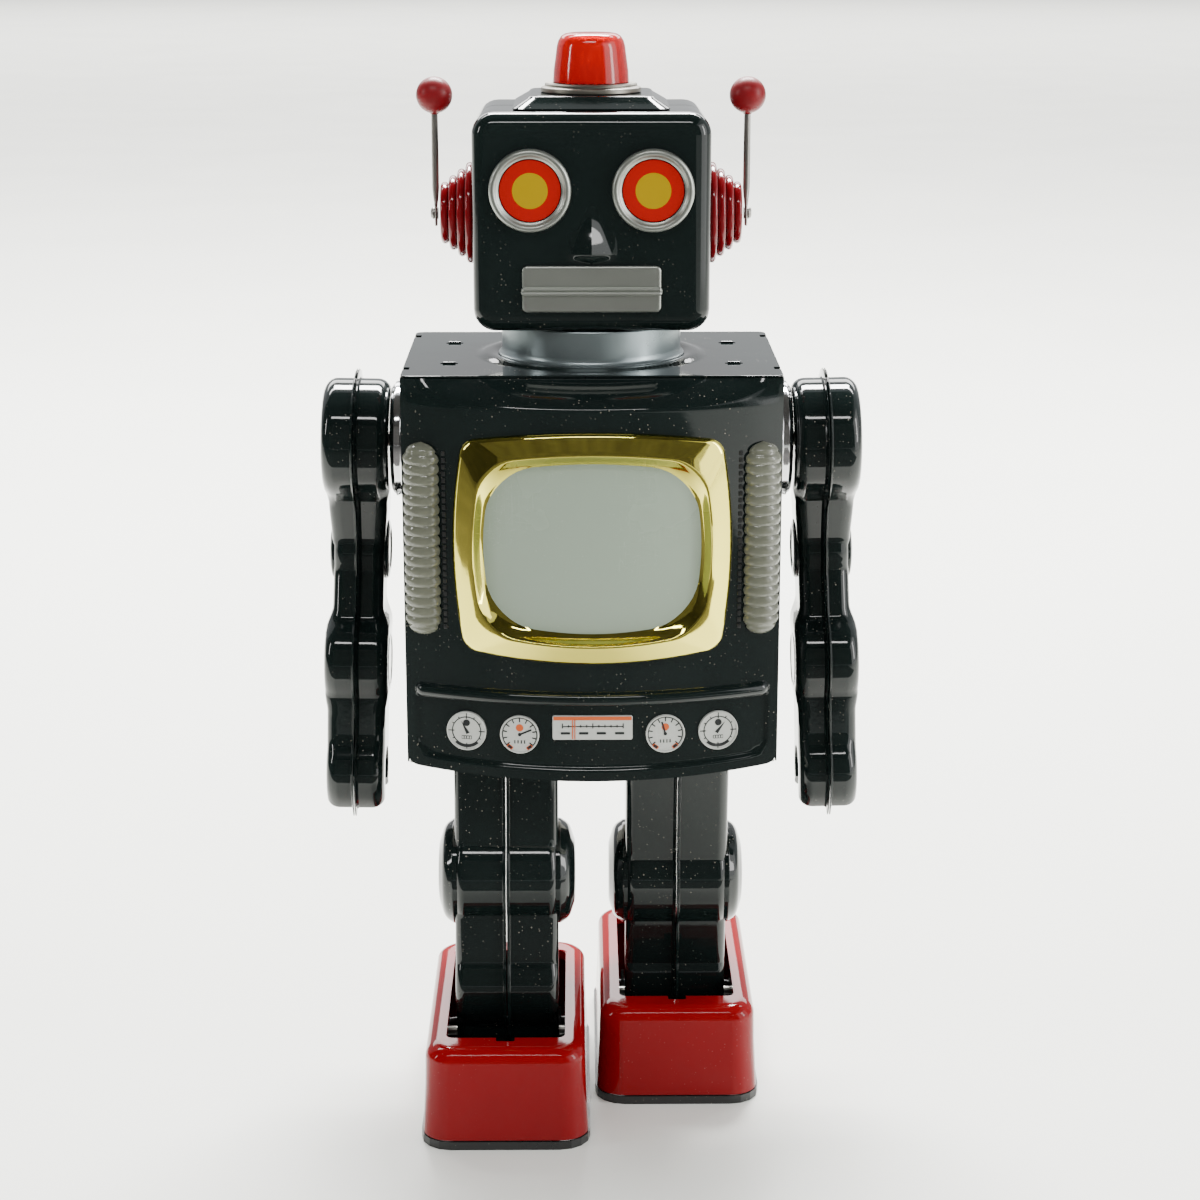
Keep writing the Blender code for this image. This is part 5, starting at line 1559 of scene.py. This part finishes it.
    def mouth(self) -> None:
        """The mouth plate: a soft-edged satin plate with a double ridge across it."""
        face = TORSO_Y - self.depth - SEAT
        loops = []
        for inset, out in ((0.0, 0.0), (0.0, 0.0007), (0.00015, 0.0010), (0.0005, 0.0012), (0.0009, 0.00125)):
            ring = slab(0.0232 - inset, 0.00775 - inset, 0.0018 - inset * 0.8, (0, 0.28975), 5)
            loops.append([Vector((x, face - out, z)) for x, z in ring])
        plate = Work("mouth_plate_pressed").loft(loops)
        bar_loops = []
        half = [(-0.0015, 0.0), (-0.0015, 0.0008), (-0.0012, 0.0014), (-0.0006, 0.0016), (-0.0002, 0.0013)]
        section = half + [(0.0, 0.0011)] + [(-a, b) for a, b in reversed(half)]
        for x, share in ((-0.0236, 0.55), (-0.0231, 0.9), (-0.0225, 1.0), (0.0225, 1.0), (0.0231, 0.9), (0.0236, 0.55)):
            bar_loops.append([Vector((x, face - 0.0003 - (0.0003 + b) * share, 0.28905 + a * share))
                              for a, b in section])
        plate.combine(Work("mouth_ridge").loft(bar_loops), "UNION")
        plate.done("torso", "silver", SATIN, ["mouth_plate"], smooth=40)

    def neck(self) -> None:
        """The satin neck drum with a flared foot."""
        low, high = TORSO_TOP + SEAT, self.bottom - SEAT
        profile = [(0.0303, low), (0.0322, low), (0.0322, low + 0.0005), (0.0316, low + 0.0010), (0.0312, low + 0.0018),
                   (0.0311, low + 0.0030), (0.0311, high - 0.0006), (0.0307, high), (0.0065, high),
                   (0.0065, high - 0.0008), (0.0300, high - 0.0008), (0.0303, high - 0.0012)]
        neck = Work("neck_drum_turned").turned(profile, Facing.Z, (0, TORSO_Y, 0), 96, closed=True)
        neck.done("torso", "silver", NECK, ["neck_drum"], smooth=40)

    def build(self) -> None:
        """Makes the head's pieces."""
        for make in (self.front, self.rear, self.plinth, self.eyes, self.mouth, self.neck):
            make()


@dataclass
class Beacon:
    """The lamp on the head: a stepped flange, the red dome with flutes inside, and its bulb."""

    flange_low: float = 0.3525
    seat: float = 0.3556
    top: float = 0.372
    radius: float = 0.0130
    flutes: int = 28

    def flange(self) -> None:
        """The dull two-step flange."""
        low = self.flange_low
        profile = [(0.0052, low), (0.0171, low), (0.0171, low + 0.0010), (0.0168, low + 0.0014), (0.0160, low + 0.0016),
                   (0.0157, low + 0.0019), (0.0157, low + 0.0024), (0.0153, low + 0.0028), (0.0052, low + 0.0028)]
        flange = Work("lamp_flange_turned").turned(profile, Facing.Z, (0, TORSO_Y, 0), 80, closed=True)
        flange.done("torso", "nickel", NICKEL, ["lamp_flange"], smooth=40)

    def dome(self) -> None:
        """The dome, turned as a thin cup, then fluted inside by upright ribs."""
        low, high, r = self.seat, self.top, self.radius
        outer = [(r, low), (r - 0.0003, low + 0.0040), (r - 0.0009, low + 0.0080), (0.0116, high - 0.0046),
                 (0.0111, high - 0.0028), (0.0101, high - 0.0013), (0.0088, high - 0.0005), (0.0070, high - 0.00015),
                 (0.0040, high), (0.0, high)]
        inner = [(0.0, high - 0.0013), (0.0040, high - 0.0013), (0.0066, high - 0.0015), (0.0084, high - 0.0019),
                 (0.0096, high - 0.0028), (0.0102, high - 0.0042), (r - 0.0021, low + 0.0080),
                 (r - 0.0014, low + 0.0040), (r - 0.0011, low)]
        steps = self.flutes * 6
        dome = Work("lamp_dome_fluted").turned(outer + inner, Facing.Z, (0, TORSO_Y, 0), steps, closed=True)

        def flute(p: Vector) -> float:
            """The share of the press at a place inside the dome."""
            away = math.hypot(p.x, p.y - TORSO_Y)
            if away < 0.006 or p.z > high - 0.004 or away > self.radius - 0.0009 - (p.z - low) * 0.055:
                return 0.0
            return 0.5 + 0.5 * math.cos(self.flutes * math.atan2(p.y - TORSO_Y, p.x))

        dome.press(None, 0.0006, flute)
        dome.done("torso", "lamp", LAMP_RED, ["lamp_dome"], smooth=50)

    def bulb(self) -> None:
        """The small clear bulb on its brass neck."""
        low = 0.348
        seat = self.seat
        profile = rounded([(0, low, 0), (0.004, low, 0.0003), (0.004, seat, 0.0004), (0.0034, seat + 0.001, 0.0006),
                           (0.0044, seat + 0.0055, 0.003), (0.0030, seat + 0.0105, 0.003), (0, seat + 0.0105, 0)],
                          5, closed=False)
        bulb = Work("lamp_bulb_blown").turned(profile, Facing.Z, (0, TORSO_Y, 0), 32)
        bulb.paint(GLASS.material())
        bulb.paint(BRASS.material(), 0, lambda p, n: p.z < self.seat + 0.0006)
        bulb.done("torso", "glass", None, ["lamp_bulb"], smooth=50)

    def build(self) -> None:
        """Makes the lamp's pieces."""
        self.flange()
        self.dome()
        self.bulb()


@dataclass
class Ear:
    """An ear of stacked rings with its tilting antenna; the left one is made and the right one is its twin."""

    foot: float = 0.04005
    reach: float = 0.05165
    radius: float = 0.0173
    end_radius: float = 0.0106
    tiers: int = 4
    z: float = 0.3112
    rod_x: float = 0.05335
    ball_z: float = 0.3508
    ball_radius: float = 0.0062

    def rings(self) -> Work:
        """Four rounded rings, each smaller than the last."""
        tier = (self.reach - self.foot) / self.tiers
        profile: list[Flat] = [(0, self.foot)]
        for i in range(self.tiers):
            radius = self.radius + (self.end_radius - self.radius) * i / (self.tiers - 1)
            start = self.foot + i * tier
            profile.append((radius - 0.0022, start + 0.00005))
            for k in range(9):
                turn = math.radians(-80 + 160 * k / 8)
                height = start + tier * (0.5 + 0.47 * math.sin(turn))
                profile.append((radius - 0.0012 + 0.0012 * math.cos(turn), height))
        profile += [(self.end_radius - 0.0026, self.reach - 0.0001), (0, self.reach)]
        return Work("ear_turned_left").turned(profile, Facing.X, (0, TORSO_Y, self.z), 64)

    def antenna(self) -> Work:
        """The rod with its foot hammered flat, and the rivet that it turns on."""
        z = self.z
        profile = [(0, -0.0042), (0.0013, -0.0042), (0.0014, -0.0034), (0.0014, 0.0020), (0.00135, 0.0040),
                   (0.00125, 0.0060), (0.0012, 0.0085), (0.0012, 0.0200), (0.0011, 0.0330), (0.0010, 0.0338),
                   (0, 0.0338)]
        stem = Work("antenna_rod_left").turned(profile, Facing.Z, (self.rod_x, TORSO_Y, z), 24)
        hammered = ((-0.01, 0.0030, 0.36, 1.85), (0.0031, 0.0050, 0.55, 1.5), (0.0051, 0.0070, 0.8, 1.15))
        for low, high, flat, wide in hammered:
            stem.pick(Pick.VERTS, lambda p, n: z + low < p.z < z + high)
            bpy.ops.transform.resize(value=(flat, wide, 1), center_override=(self.rod_x, TORSO_Y, z))
        rivet = rounded([(0, -0.0008, 0), (0.0021, -0.0008, 0), (0.0021, 0.0010, 0.0003), (0.0015, 0.0018, 0.0006),
                         (0, 0.0019, 0)], 4, closed=False)
        head = Work("antenna_rivet").turned(rivet, Facing.X, (self.rod_x, TORSO_Y, z), 28)
        return stem.combine(head, "UNION")

    def ball(self) -> Work:
        """The satin ball with a small collar where the rod enters."""
        r = self.ball_radius
        profile = [(r * math.sin(math.radians(t)), -r * math.cos(math.radians(t))) for t in range(15, 181, 5)]
        profile = [(0, -r - 0.0002), (0.0013, -r - 0.0002), (0.0016, -r * 0.966)] + profile[:-1] + [(0, r)]
        return Work("antenna_ball_left").turned(profile, Facing.Z, (self.rod_x, TORSO_Y, self.ball_z + 0.0003), 48)

    def build(self) -> None:
        """Makes both ears and antennas."""
        ring, stem, ball = self.rings(), self.antenna(), self.ball()
        twins = [work.twin(work.obj.name.replace("left", "right")) for work in (ring, stem, ball)]
        sets = ((Side.LEFT, ring, stem, ball), (Side.RIGHT, *twins))
        for side, ear, antenna, knob in sets:
            for piece, name in ((antenna, "antenna_rod_drawn_"), (knob, "antenna_ball_turned_")):
                piece.obj.name = piece.obj.data.name = name + side.word
            ear.done("torso", "ear_red", EAR_RED, ["ear_" + side.word], smooth=60)
            antenna.done("antenna_" + side.word, "steel", STEEL, ["antenna_rod_" + side.word], smooth=50)
            knob.done("antenna_" + side.word, "ball_red", BALL_RED, ["antenna_ball_" + side.word], smooth=60)


# ---------------------------------------------------------------- limbs
@dataclass(frozen=True)
class Roll:
    """A round swelling of a limb: its middle back and up, and its radius."""

    y: float
    z: float
    radius: float


@dataclass
class Limb:
    """A limb pressed in two halves that meet in a thin standing seam."""

    rolls: tuple[Roll, ...]
    band: float
    widths: tuple[Flat, ...]
    rim: float
    seam: float
    seam_thick: float = 0.0005

    def reach(self, height: float, way: int, grow: float) -> float:
        """Furthest point forward or back at a height.

        Args:
            height: The height.
            way: -1 for the front and 1 for the back.
            grow: How much the outline is grown.

        Returns:
            The place along Y.
        """
        found = []
        for roll in self.rolls:
            radius = roll.radius + grow
            if abs(height - roll.z) <= radius:
                found.append(way * roll.y + math.sqrt(radius**2 - (height - roll.z) ** 2))
        for a, b in zip(self.rolls, self.rolls[1:]):
            if b.z <= height <= a.z:
                share = (a.z - height) / (a.z - b.z)
                middle = way * (a.y + (b.y - a.y) * share)
                found.append(middle + min(self.band, a.radius + (b.radius - a.radius) * share) + grow)
        return way * max(found)

    def outline(self, grow: float) -> list[Flat]:
        """The side outline, from the top middle down the front and up the back.

        Args:
            grow: How much it is grown, negative to shrink.

        Returns:
            Points as y and z, as many for every grow.
        """
        top, last = self.rolls[0], self.rolls[-1]
        levels: list[float] = []
        for a, b in zip(self.rolls, self.rolls[1:]):
            start = a.z if a is top else a.z - self.stand(a, grow)
            end = b.z if b is last else b.z + self.stand(b, grow)
            count = max(int(round((a.z - b.z) / 0.0034)), 3)
            levels += [start + (end - start) * k / count for k in range(count + 1)]
            if b is not last:
                tall = self.stand(b, grow)
                levels += [b.z + tall * math.cos(math.radians(15 * k)) for k in range(1, 12)]
        front = [(self.reach(z, -1, grow), z) for z in levels]
        back = [(self.reach(z, 1, grow), z) for z in levels]
        head = arc((top.y, top.z), top.radius + grow, 90 + 7.5, 180, 6)[:-1]
        tail = arc((top.y, top.z), top.radius + grow, 0, 90 - 7.5, 6)[1:]
        chin = arc((last.y, last.z), last.radius + grow, 180, 270 - 7.5, 6)[1:]
        heel = arc((last.y, last.z), last.radius + grow, 270 + 7.5, 360, 6)[:-1]
        return head + front + chin + heel + back[::-1] + tail

    def stand(self, roll: Roll, grow: float) -> float:
        """How far above its middle a roll stands out from the band."""
        return math.sqrt(max((roll.radius + grow) ** 2 - (self.band + grow) ** 2, 0.0004**2))

    def half(self, name: str, way: int) -> Work:
        """One closed half, drawn outwards from the seam plane at X = 0.

        Args:
            name: The piece's name.
            way: 1 outwards along +X, -1 along -X.

        Returns:
            The half.
        """
        flange, rim = self.seam, self.rim
        loops = []
        for share, grow in ((0.0, flange - 0.0003), (0.5, flange), (1.0, flange - 0.0003), (1.3, 0.0006), (2.4, 0.0)):
            x = way * (SEAT / 2 + self.seam_thick * share)
            loops.append([Vector((x, y, z)) for y, z in self.outline(grow)])
        for k in range(8):
            turn = math.radians(90 * k / 7)
            inset, away = rim * (1 - math.cos(turn)), rim * (1 - math.sin(turn))
            loops.append([Vector((way * (along_table(self.widths, z) - away), y, z)) for y, z in self.outline(-inset)])
        return Work(name).loft(loops, End.LADDER, End.LADDER)


@dataclass
class Arm:
    """An arm: shoulder, elbow, wrist and an open claw, pressed in two halves, on a chrome shoulder ring."""

    x: float = 0.0822
    z: float = 0.2320
    lean: float = 1.1
    limb: Limb = field(default_factory=lambda: Limb(
        (Roll(0, 0, 0.0214), Roll(0.0110, -0.0425, 0.0150), Roll(-0.0040, -0.0799, 0.0170),
         Roll(-0.0100, -0.1190, 0.0160)),
        0.0125,
        ((0.03, 0.0117), (-0.0160, 0.0117), (-0.0225, 0.0104), (-0.0370, 0.0096), (-0.0385, 0.0090), (-0.0600, 0.0090),
         (-0.0680, 0.0113), (-0.0900, 0.0113), (-0.0960, 0.0104), (-0.2, 0.0102)),
        0.0046, 0.0034))
    bore: float = 0.0080

    def place(self) -> Matrix:
        """From the arm's own drawing to the left shoulder."""
        return Matrix.Translation((self.x, TORSO_Y, self.z)) @ Matrix.Rotation(math.radians(-self.lean), 4, "Y")

    def boss(self, roll: Roll, radius: float, low: float, high: float, way: int) -> Work:
        """A round pressed boss on the side of a roll, with a step round it.

        Args:
            roll: The roll it sits on.
            radius: Its radius.
            low: Where it starts along X.
            high: Where it ends.
            way: 1 outwards along +X, -1 along -X.

        Returns:
            The boss.
        """
        profile = rounded([(0, low, 0), (radius, low, 0), (radius, high - 0.0006, 0.0010),
                           (radius - 0.0026, high, 0.0012), (radius - 0.0040, high - 0.0005, 0.0008),
                           (0, high - 0.0003, 0)], 4, closed=False)
        return Work("boss").turned(profile, Facing.X, (0, roll.y, roll.z), 40, way)

    def half(self, name: str, way: int) -> Work:
        """One half with its bosses, shaft hole and claw.

        Args:
            name: The piece's name.
            way: 1 for the outer half of the left arm, -1 for the inner one.

        Returns:
            The half in its place on the left.
        """
        half = self.limb.half(name, way)
        shoulder, elbow, wrist, hand = self.limb.rolls
        for roll, radius, low, high in ((shoulder, 0.0150, 0.0100, 0.0116), (elbow, 0.0108, 0.0080, 0.0106),
                                        (wrist, 0.0118, 0.0100, 0.0116)):
            half.combine(self.boss(roll, radius, low, high, way), "UNION")
        claw = Work("claw")
        mouth = math.radians(225)
        lip = (hand.y + 0.04 * math.cos(mouth), hand.z + 0.04 * math.sin(mouth))
        other = (hand.y - 0.04 * math.cos(mouth), lip[1])
        claw.slab(arc((hand.y, hand.z), self.bore, -45, 225, 26) + [lip, other], -0.03, 0.03, Facing.X)
        half.combine(claw, "DIFFERENCE")
        half.move(self.place())
        end = 0.0096 if way > 0 else 0.03
        shaft = Work("shaft").turned(rod(0.0028, -0.02, end), Facing.X, (self.x, TORSO_Y, self.z), 24)
        return half.combine(shaft, "DIFFERENCE")

    def ring(self) -> Work:
        """The stepped chrome ring between the torso and the arm."""
        low, high = TORSO_HALF + SEAT, self.x - 0.0116 - 0.0008
        profile = [(0.0029, low), (0.0217, low), (0.0217, low + 0.0010), (0.0214, low + 0.0016), (0.0206, low + 0.0018),
                   (0.0204, low + 0.0022), (0.0204, high - 0.0020), (0.0202, high - 0.0014), (0.0194, high - 0.0010),
                   (0.0190, high - 0.0004), (0.0184, high), (0.0029, high)]
        return Work("shoulder_ring_turned_left").turned(profile, Facing.X, (0, TORSO_Y, self.z), 80, closed=True)

    def build(self) -> None:
        """Makes both arms."""
        outer, inner = (self.half(f"arm_left_{label}_pressed", way) for label, way in (("outer", 1), ("inner", -1)))
        ring = self.ring()
        twins = [w.twin(w.obj.name.replace("left", "right")) for w in (outer, inner, ring)]
        for side, (a, b, c) in ((Side.LEFT, (outer, inner, ring)), (Side.RIGHT, twins)):
            a.done("arm_" + side.word, "black", BLACK, [f"arm_{side.word}_outer"], smooth=38)
            b.done("arm_" + side.word, "black", BLACK, [f"arm_{side.word}_inner"], smooth=38)
            c.done("torso", "chrome", CHROME, ["shoulder_ring_" + side.word], smooth=40)


@dataclass
class Leg:
    """A leg: a long lever with a knee roll and side domes, and an ankle roll that goes into the shoe."""

    x: float = 0.0303
    hip: float = 0.150
    length: float = 0.130
    lean: float = 7.5
    lift: float = 0.004
    limb: Limb = field(default_factory=lambda: Limb(
        (Roll(0, 0.0135, 0.006), Roll(0, -0.004, 0.0155), Roll(0, -0.0747, 0.0200), Roll(0, -0.114, 0.0180),
         Roll(0, -0.130, 0.010)),
        0.0155, ((0.03, 0.0183), (-0.2, 0.0183)), 0.0036, 0.0017))

    def half(self, name: str, way: int) -> Work:
        """One half with its knee dome, in the leg's own drawing, not yet lifted."""
        half = self.limb.half(name, way)
        dome = rounded([(0, 0.0175, 0), (0.0188, 0.0175, 0), (0.0188, 0.0190, 0.0012), (0.0168, 0.0222, 0.006),
                        (0.0105, 0.0243, 0.010), (0, 0.0245, 0)], 6, closed=False)
        half.combine(Work("knee_dome").turned(dome, Facing.X, (0, 0, -0.0747), 64, way), "UNION")
        return half

    def slots(self, lift: float) -> Work:
        """The upright slots for the hip and ankle pins."""
        tools = Work("pin_slots")
        for z, radius in ((0.0, 0.0024), (-self.length, 0.0020)):
            outline = arc((0, z + self.lift), radius, 0, 180, 10) + arc((0, z - self.lift), radius, 180, 360, 10)
            tools.slab(outline, -0.03, 0.03, Facing.X)
        return tools

    def build(self) -> None:
        """Makes both legs, the right one stepping forward and lifted."""
        for label, way in (("outer", 1), ("inner", -1)):
            left = self.half(f"leg_left_{label}_pressed", way)
            right = left.twin(f"leg_right_{label}_pressed")
            for side, piece in ((Side.LEFT, left), (Side.RIGHT, right)):
                piece.move(Matrix.Translation((0, 0, -side.value * self.lift)))
                piece.combine(self.slots(self.lift), "DIFFERENCE")
                piece.move(Matrix.Translation((side.value * self.x, 0, self.hip))
                           @ Matrix.Rotation(math.radians(side.value * self.lean), 4, "X"))
                piece.done("leg_" + side.word, "black", BLACK, [f"leg_{side.word}_{label}"], smooth=38)


@dataclass
class Shoe:
    """A crimson shoe: a drawn cover with a rolled rim, a turned-in opening and a notch, over the black sole."""

    x: float = 0.0303
    stride: float = 0.130 * math.sin(math.radians(7.5))
    half_x: float = 0.0287
    half_y: float = 0.0505
    low: float = 0.0033
    top: float = 0.036
    corner: float = 0.0095
    roll: float = 0.0052

    def cover(self, name: str, y: float) -> Work:
        """The cover as one drawn shell.

        Args:
            name: The piece's name.
            y: The shoe's middle along Y.

        Returns:
            The cover in its place on the left.
        """
        stations = [(0.0, self.low), (0.0002, self.low + 0.004), (0.0009, self.top - self.roll - 0.010)]
        for k in range(9):
            turn = math.radians(90 * k / 8)
            stations.append((0.0011 + self.roll * (1 - math.cos(turn)), self.top - self.roll * (1 - math.sin(turn))))
        loops = []
        for inset, z in stations:
            corner = max(self.corner - inset * 0.5, 0.002)
            ring = slab(self.half_x - inset, self.half_y - inset, corner, (self.x, y), 8)
            loops.append([Vector((a, b, z)) for a, b in ring])
        cover = Work(name).loft(loops, End.OPEN, End.FLAT).wall(TIN, -1.0)
        front = y - 0.038
        under, over, centre = self.top - 0.008, self.top + 0.004, (self.x, y)
        opening = Work("opening").slab(slab(0.0210, 0.038, 0.0030, centre), under, over, Facing.Z)
        cover.combine(opening, "DIFFERENCE")
        lip = Work("opening_lip")
        lip.slab(slab(0.0212, 0.0382, 0.0031, centre), self.top - 0.0036, self.top - 0.0002, Facing.Z)
        hole = Work("lip_hole").slab(slab(0.0206, 0.0376, 0.0027, centre), under, over, Facing.Z)
        cover.combine(lip.combine(hole, "DIFFERENCE"), "UNION")
        notch = Work("notch").box((self.x - 0.00325, front - 0.0028, under), (self.x + 0.00325, front + 0.0020, over))
        notch.bevel(lambda p, n: abs(abs(p.x - self.x) - 0.00325) < 1e-5 and p.y < front - 0.0027, 0.0008, 3)
        return cover.combine(notch, "DIFFERENCE")

    def build(self) -> None:
        """Makes both shoes' covers."""
        for side in Side:
            cover = self.cover("shoe_cover_drawn_" + side.word, side.value * self.stride)
            if side is Side.RIGHT:
                cover = cover.move(Matrix.Translation((-2 * self.x, 0, 0)))
            cover.done("shoe_" + side.word, "crimson", CRIMSON, ["shoe_upper_" + side.word], smooth=40)


@dataclass
class Back:
    """What shows on the back: the battery door with its finger grip, and the switch."""

    low: float = 0.1503
    high: float = 0.2057
    half: float = 0.0287

    def door(self) -> None:
        """The door: a pressed plate with a sunk field, a rolled hinge barrel and a finger grip."""
        face = TORSO_BACK
        middle = (self.low + self.high) / 2
        tall = (self.high - self.low) / 2
        door = Work("battery_door_pressed")
        door.slab(slab(self.half, tall, 0.002, (0, middle)), face - TIN, face + 0.0002, Facing.Y)
        door.merge()
        door.bevel(lambda p, n: p.y > face + 0.0001, 0.0003, 2)
        field = slab(self.half - 0.004, tall - 0.004, 0.0012, (0, middle))
        door.combine(Work("door_field").slab(field, face - 0.0002, face + 0.001, Facing.Y), "DIFFERENCE")
        axis = face + 0.0015
        hinge = Work("door_barrel").turned(rod(0.0012, -0.0247, 0.0247), Facing.X, (0, axis, self.low), 20)
        hinge.box((-0.0225, face - TIN / 2, self.low + 0.0002), (0.0225, axis, self.low + 0.0009))
        hinge.done("door", "black", BLACK)
        loops = []
        for inset, y in ((0.0, face - TIN / 2), (0.0, face + 0.0008), (0.0002, face + 0.0012), (0.0005, face + 0.0013)):
            ring = slab(0.006 - inset, 0.0012 - inset, 0.0009 - inset, (0, self.high - 0.003), 4)
            loops.append([Vector((x, y, z)) for x, z in ring])
        Work("door_grip").loft(loops).done("door", "black", BLACK)
        door.done("door", "black", BLACK, ["battery_door"], smooth=35)

    def switch(self) -> None:
        """The sliding switch: a ribbed knob on its stem."""
        x, z, face = 0.030, 0.232, TORSO_BACK
        knob = Work("switch_knob").slab(slab(0.0025, 0.003, 0.0008, (x, z), 4), face + SEAT, face + 0.0033, Facing.Y)
        knob.bevel(lambda p, n: p.y > face + 0.0032, 0.0004, 2)
        for k in range(3):
            ridge = x + (k - 1) * 0.0013
            groove = Work("groove")
            groove.box((ridge - 0.0003, face + 0.0027, z - 0.004), (ridge + 0.0003, face + 0.004, z + 0.004))
            knob.combine(groove, "DIFFERENCE")
        stem = Work("switch_stem").box((x - 0.0015, face - 0.0014, z - 0.0012), (x + 0.0015, face + 0.0008, z + 0.0012))
        stem.box((x - 0.003, face - TIN - SEAT - 0.0012, z - 0.003), (x + 0.003, face - TIN - SEAT, z + 0.003))
        knob.combine(stem, "UNION")
        knob.done("switch", "nickel", NICKEL, ["switch_lever"], smooth=35)

    def build(self) -> None:
        """Makes the back's pieces."""
        self.door()
        self.switch()


class Carried:
    """The frame's own nodes that stay in view, each given its finish."""

    finishes: dict[str, Finish] = {
        "base_plate": BARE, "drive_frame": BARE, "lamp_post": BARE, "battery_holder": BARE, "motor": STEEL,
        "motor_pinion": BRASS, "crank_gear": BRASS, "picture_drum": FILM, "battery_pack": CARD, "drum_lamp": GLASS,
        "shoe_sole": SOLE_BLACK, "ankle_pin": STEEL, "wheelset": RUBBER, "shoulder_axle": STEEL,
    }

    def build(self) -> None:
        """Dresses every node whose name begins with one of the names."""
        for name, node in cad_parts.items():
            for start, finish in self.finishes.items():
                if name.startswith(start):
                    node.data.materials.clear()
                    node.data.materials.append(finish.material())
                    log.info("%s dressed in %s", name, finish.name)


def main() -> None:
    """Builds every sub-assembly in order."""
    logging.basicConfig(level=logging.INFO, format="%(message)s")
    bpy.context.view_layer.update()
    Torso().build()
    ScreenUnit().build()
    MeterDial(-0.0430, 0.1413, 0.0069, 118).build("meter_dial_right")
    GaugeDial(-0.0248, 0.1413, 0.0067, 24).build("gauge_dial_right")
    ScaleDial(0.0, 0.1442, 0.0136).build("scale_dial")
    GaugeDial(0.0248, 0.1415, 0.0067, 106).build("gauge_dial_left")
    MeterDial(0.0430, 0.1413, 0.0069, 52).build("meter_dial_left")
    Head().build()
    Beacon().build()
    Ear().build()
    Arm().build()
    Leg().build()
    Shoe().build()
    Back().build()
    Carried().build()
    Studio().build()


if __name__ == "__main__":
    main()
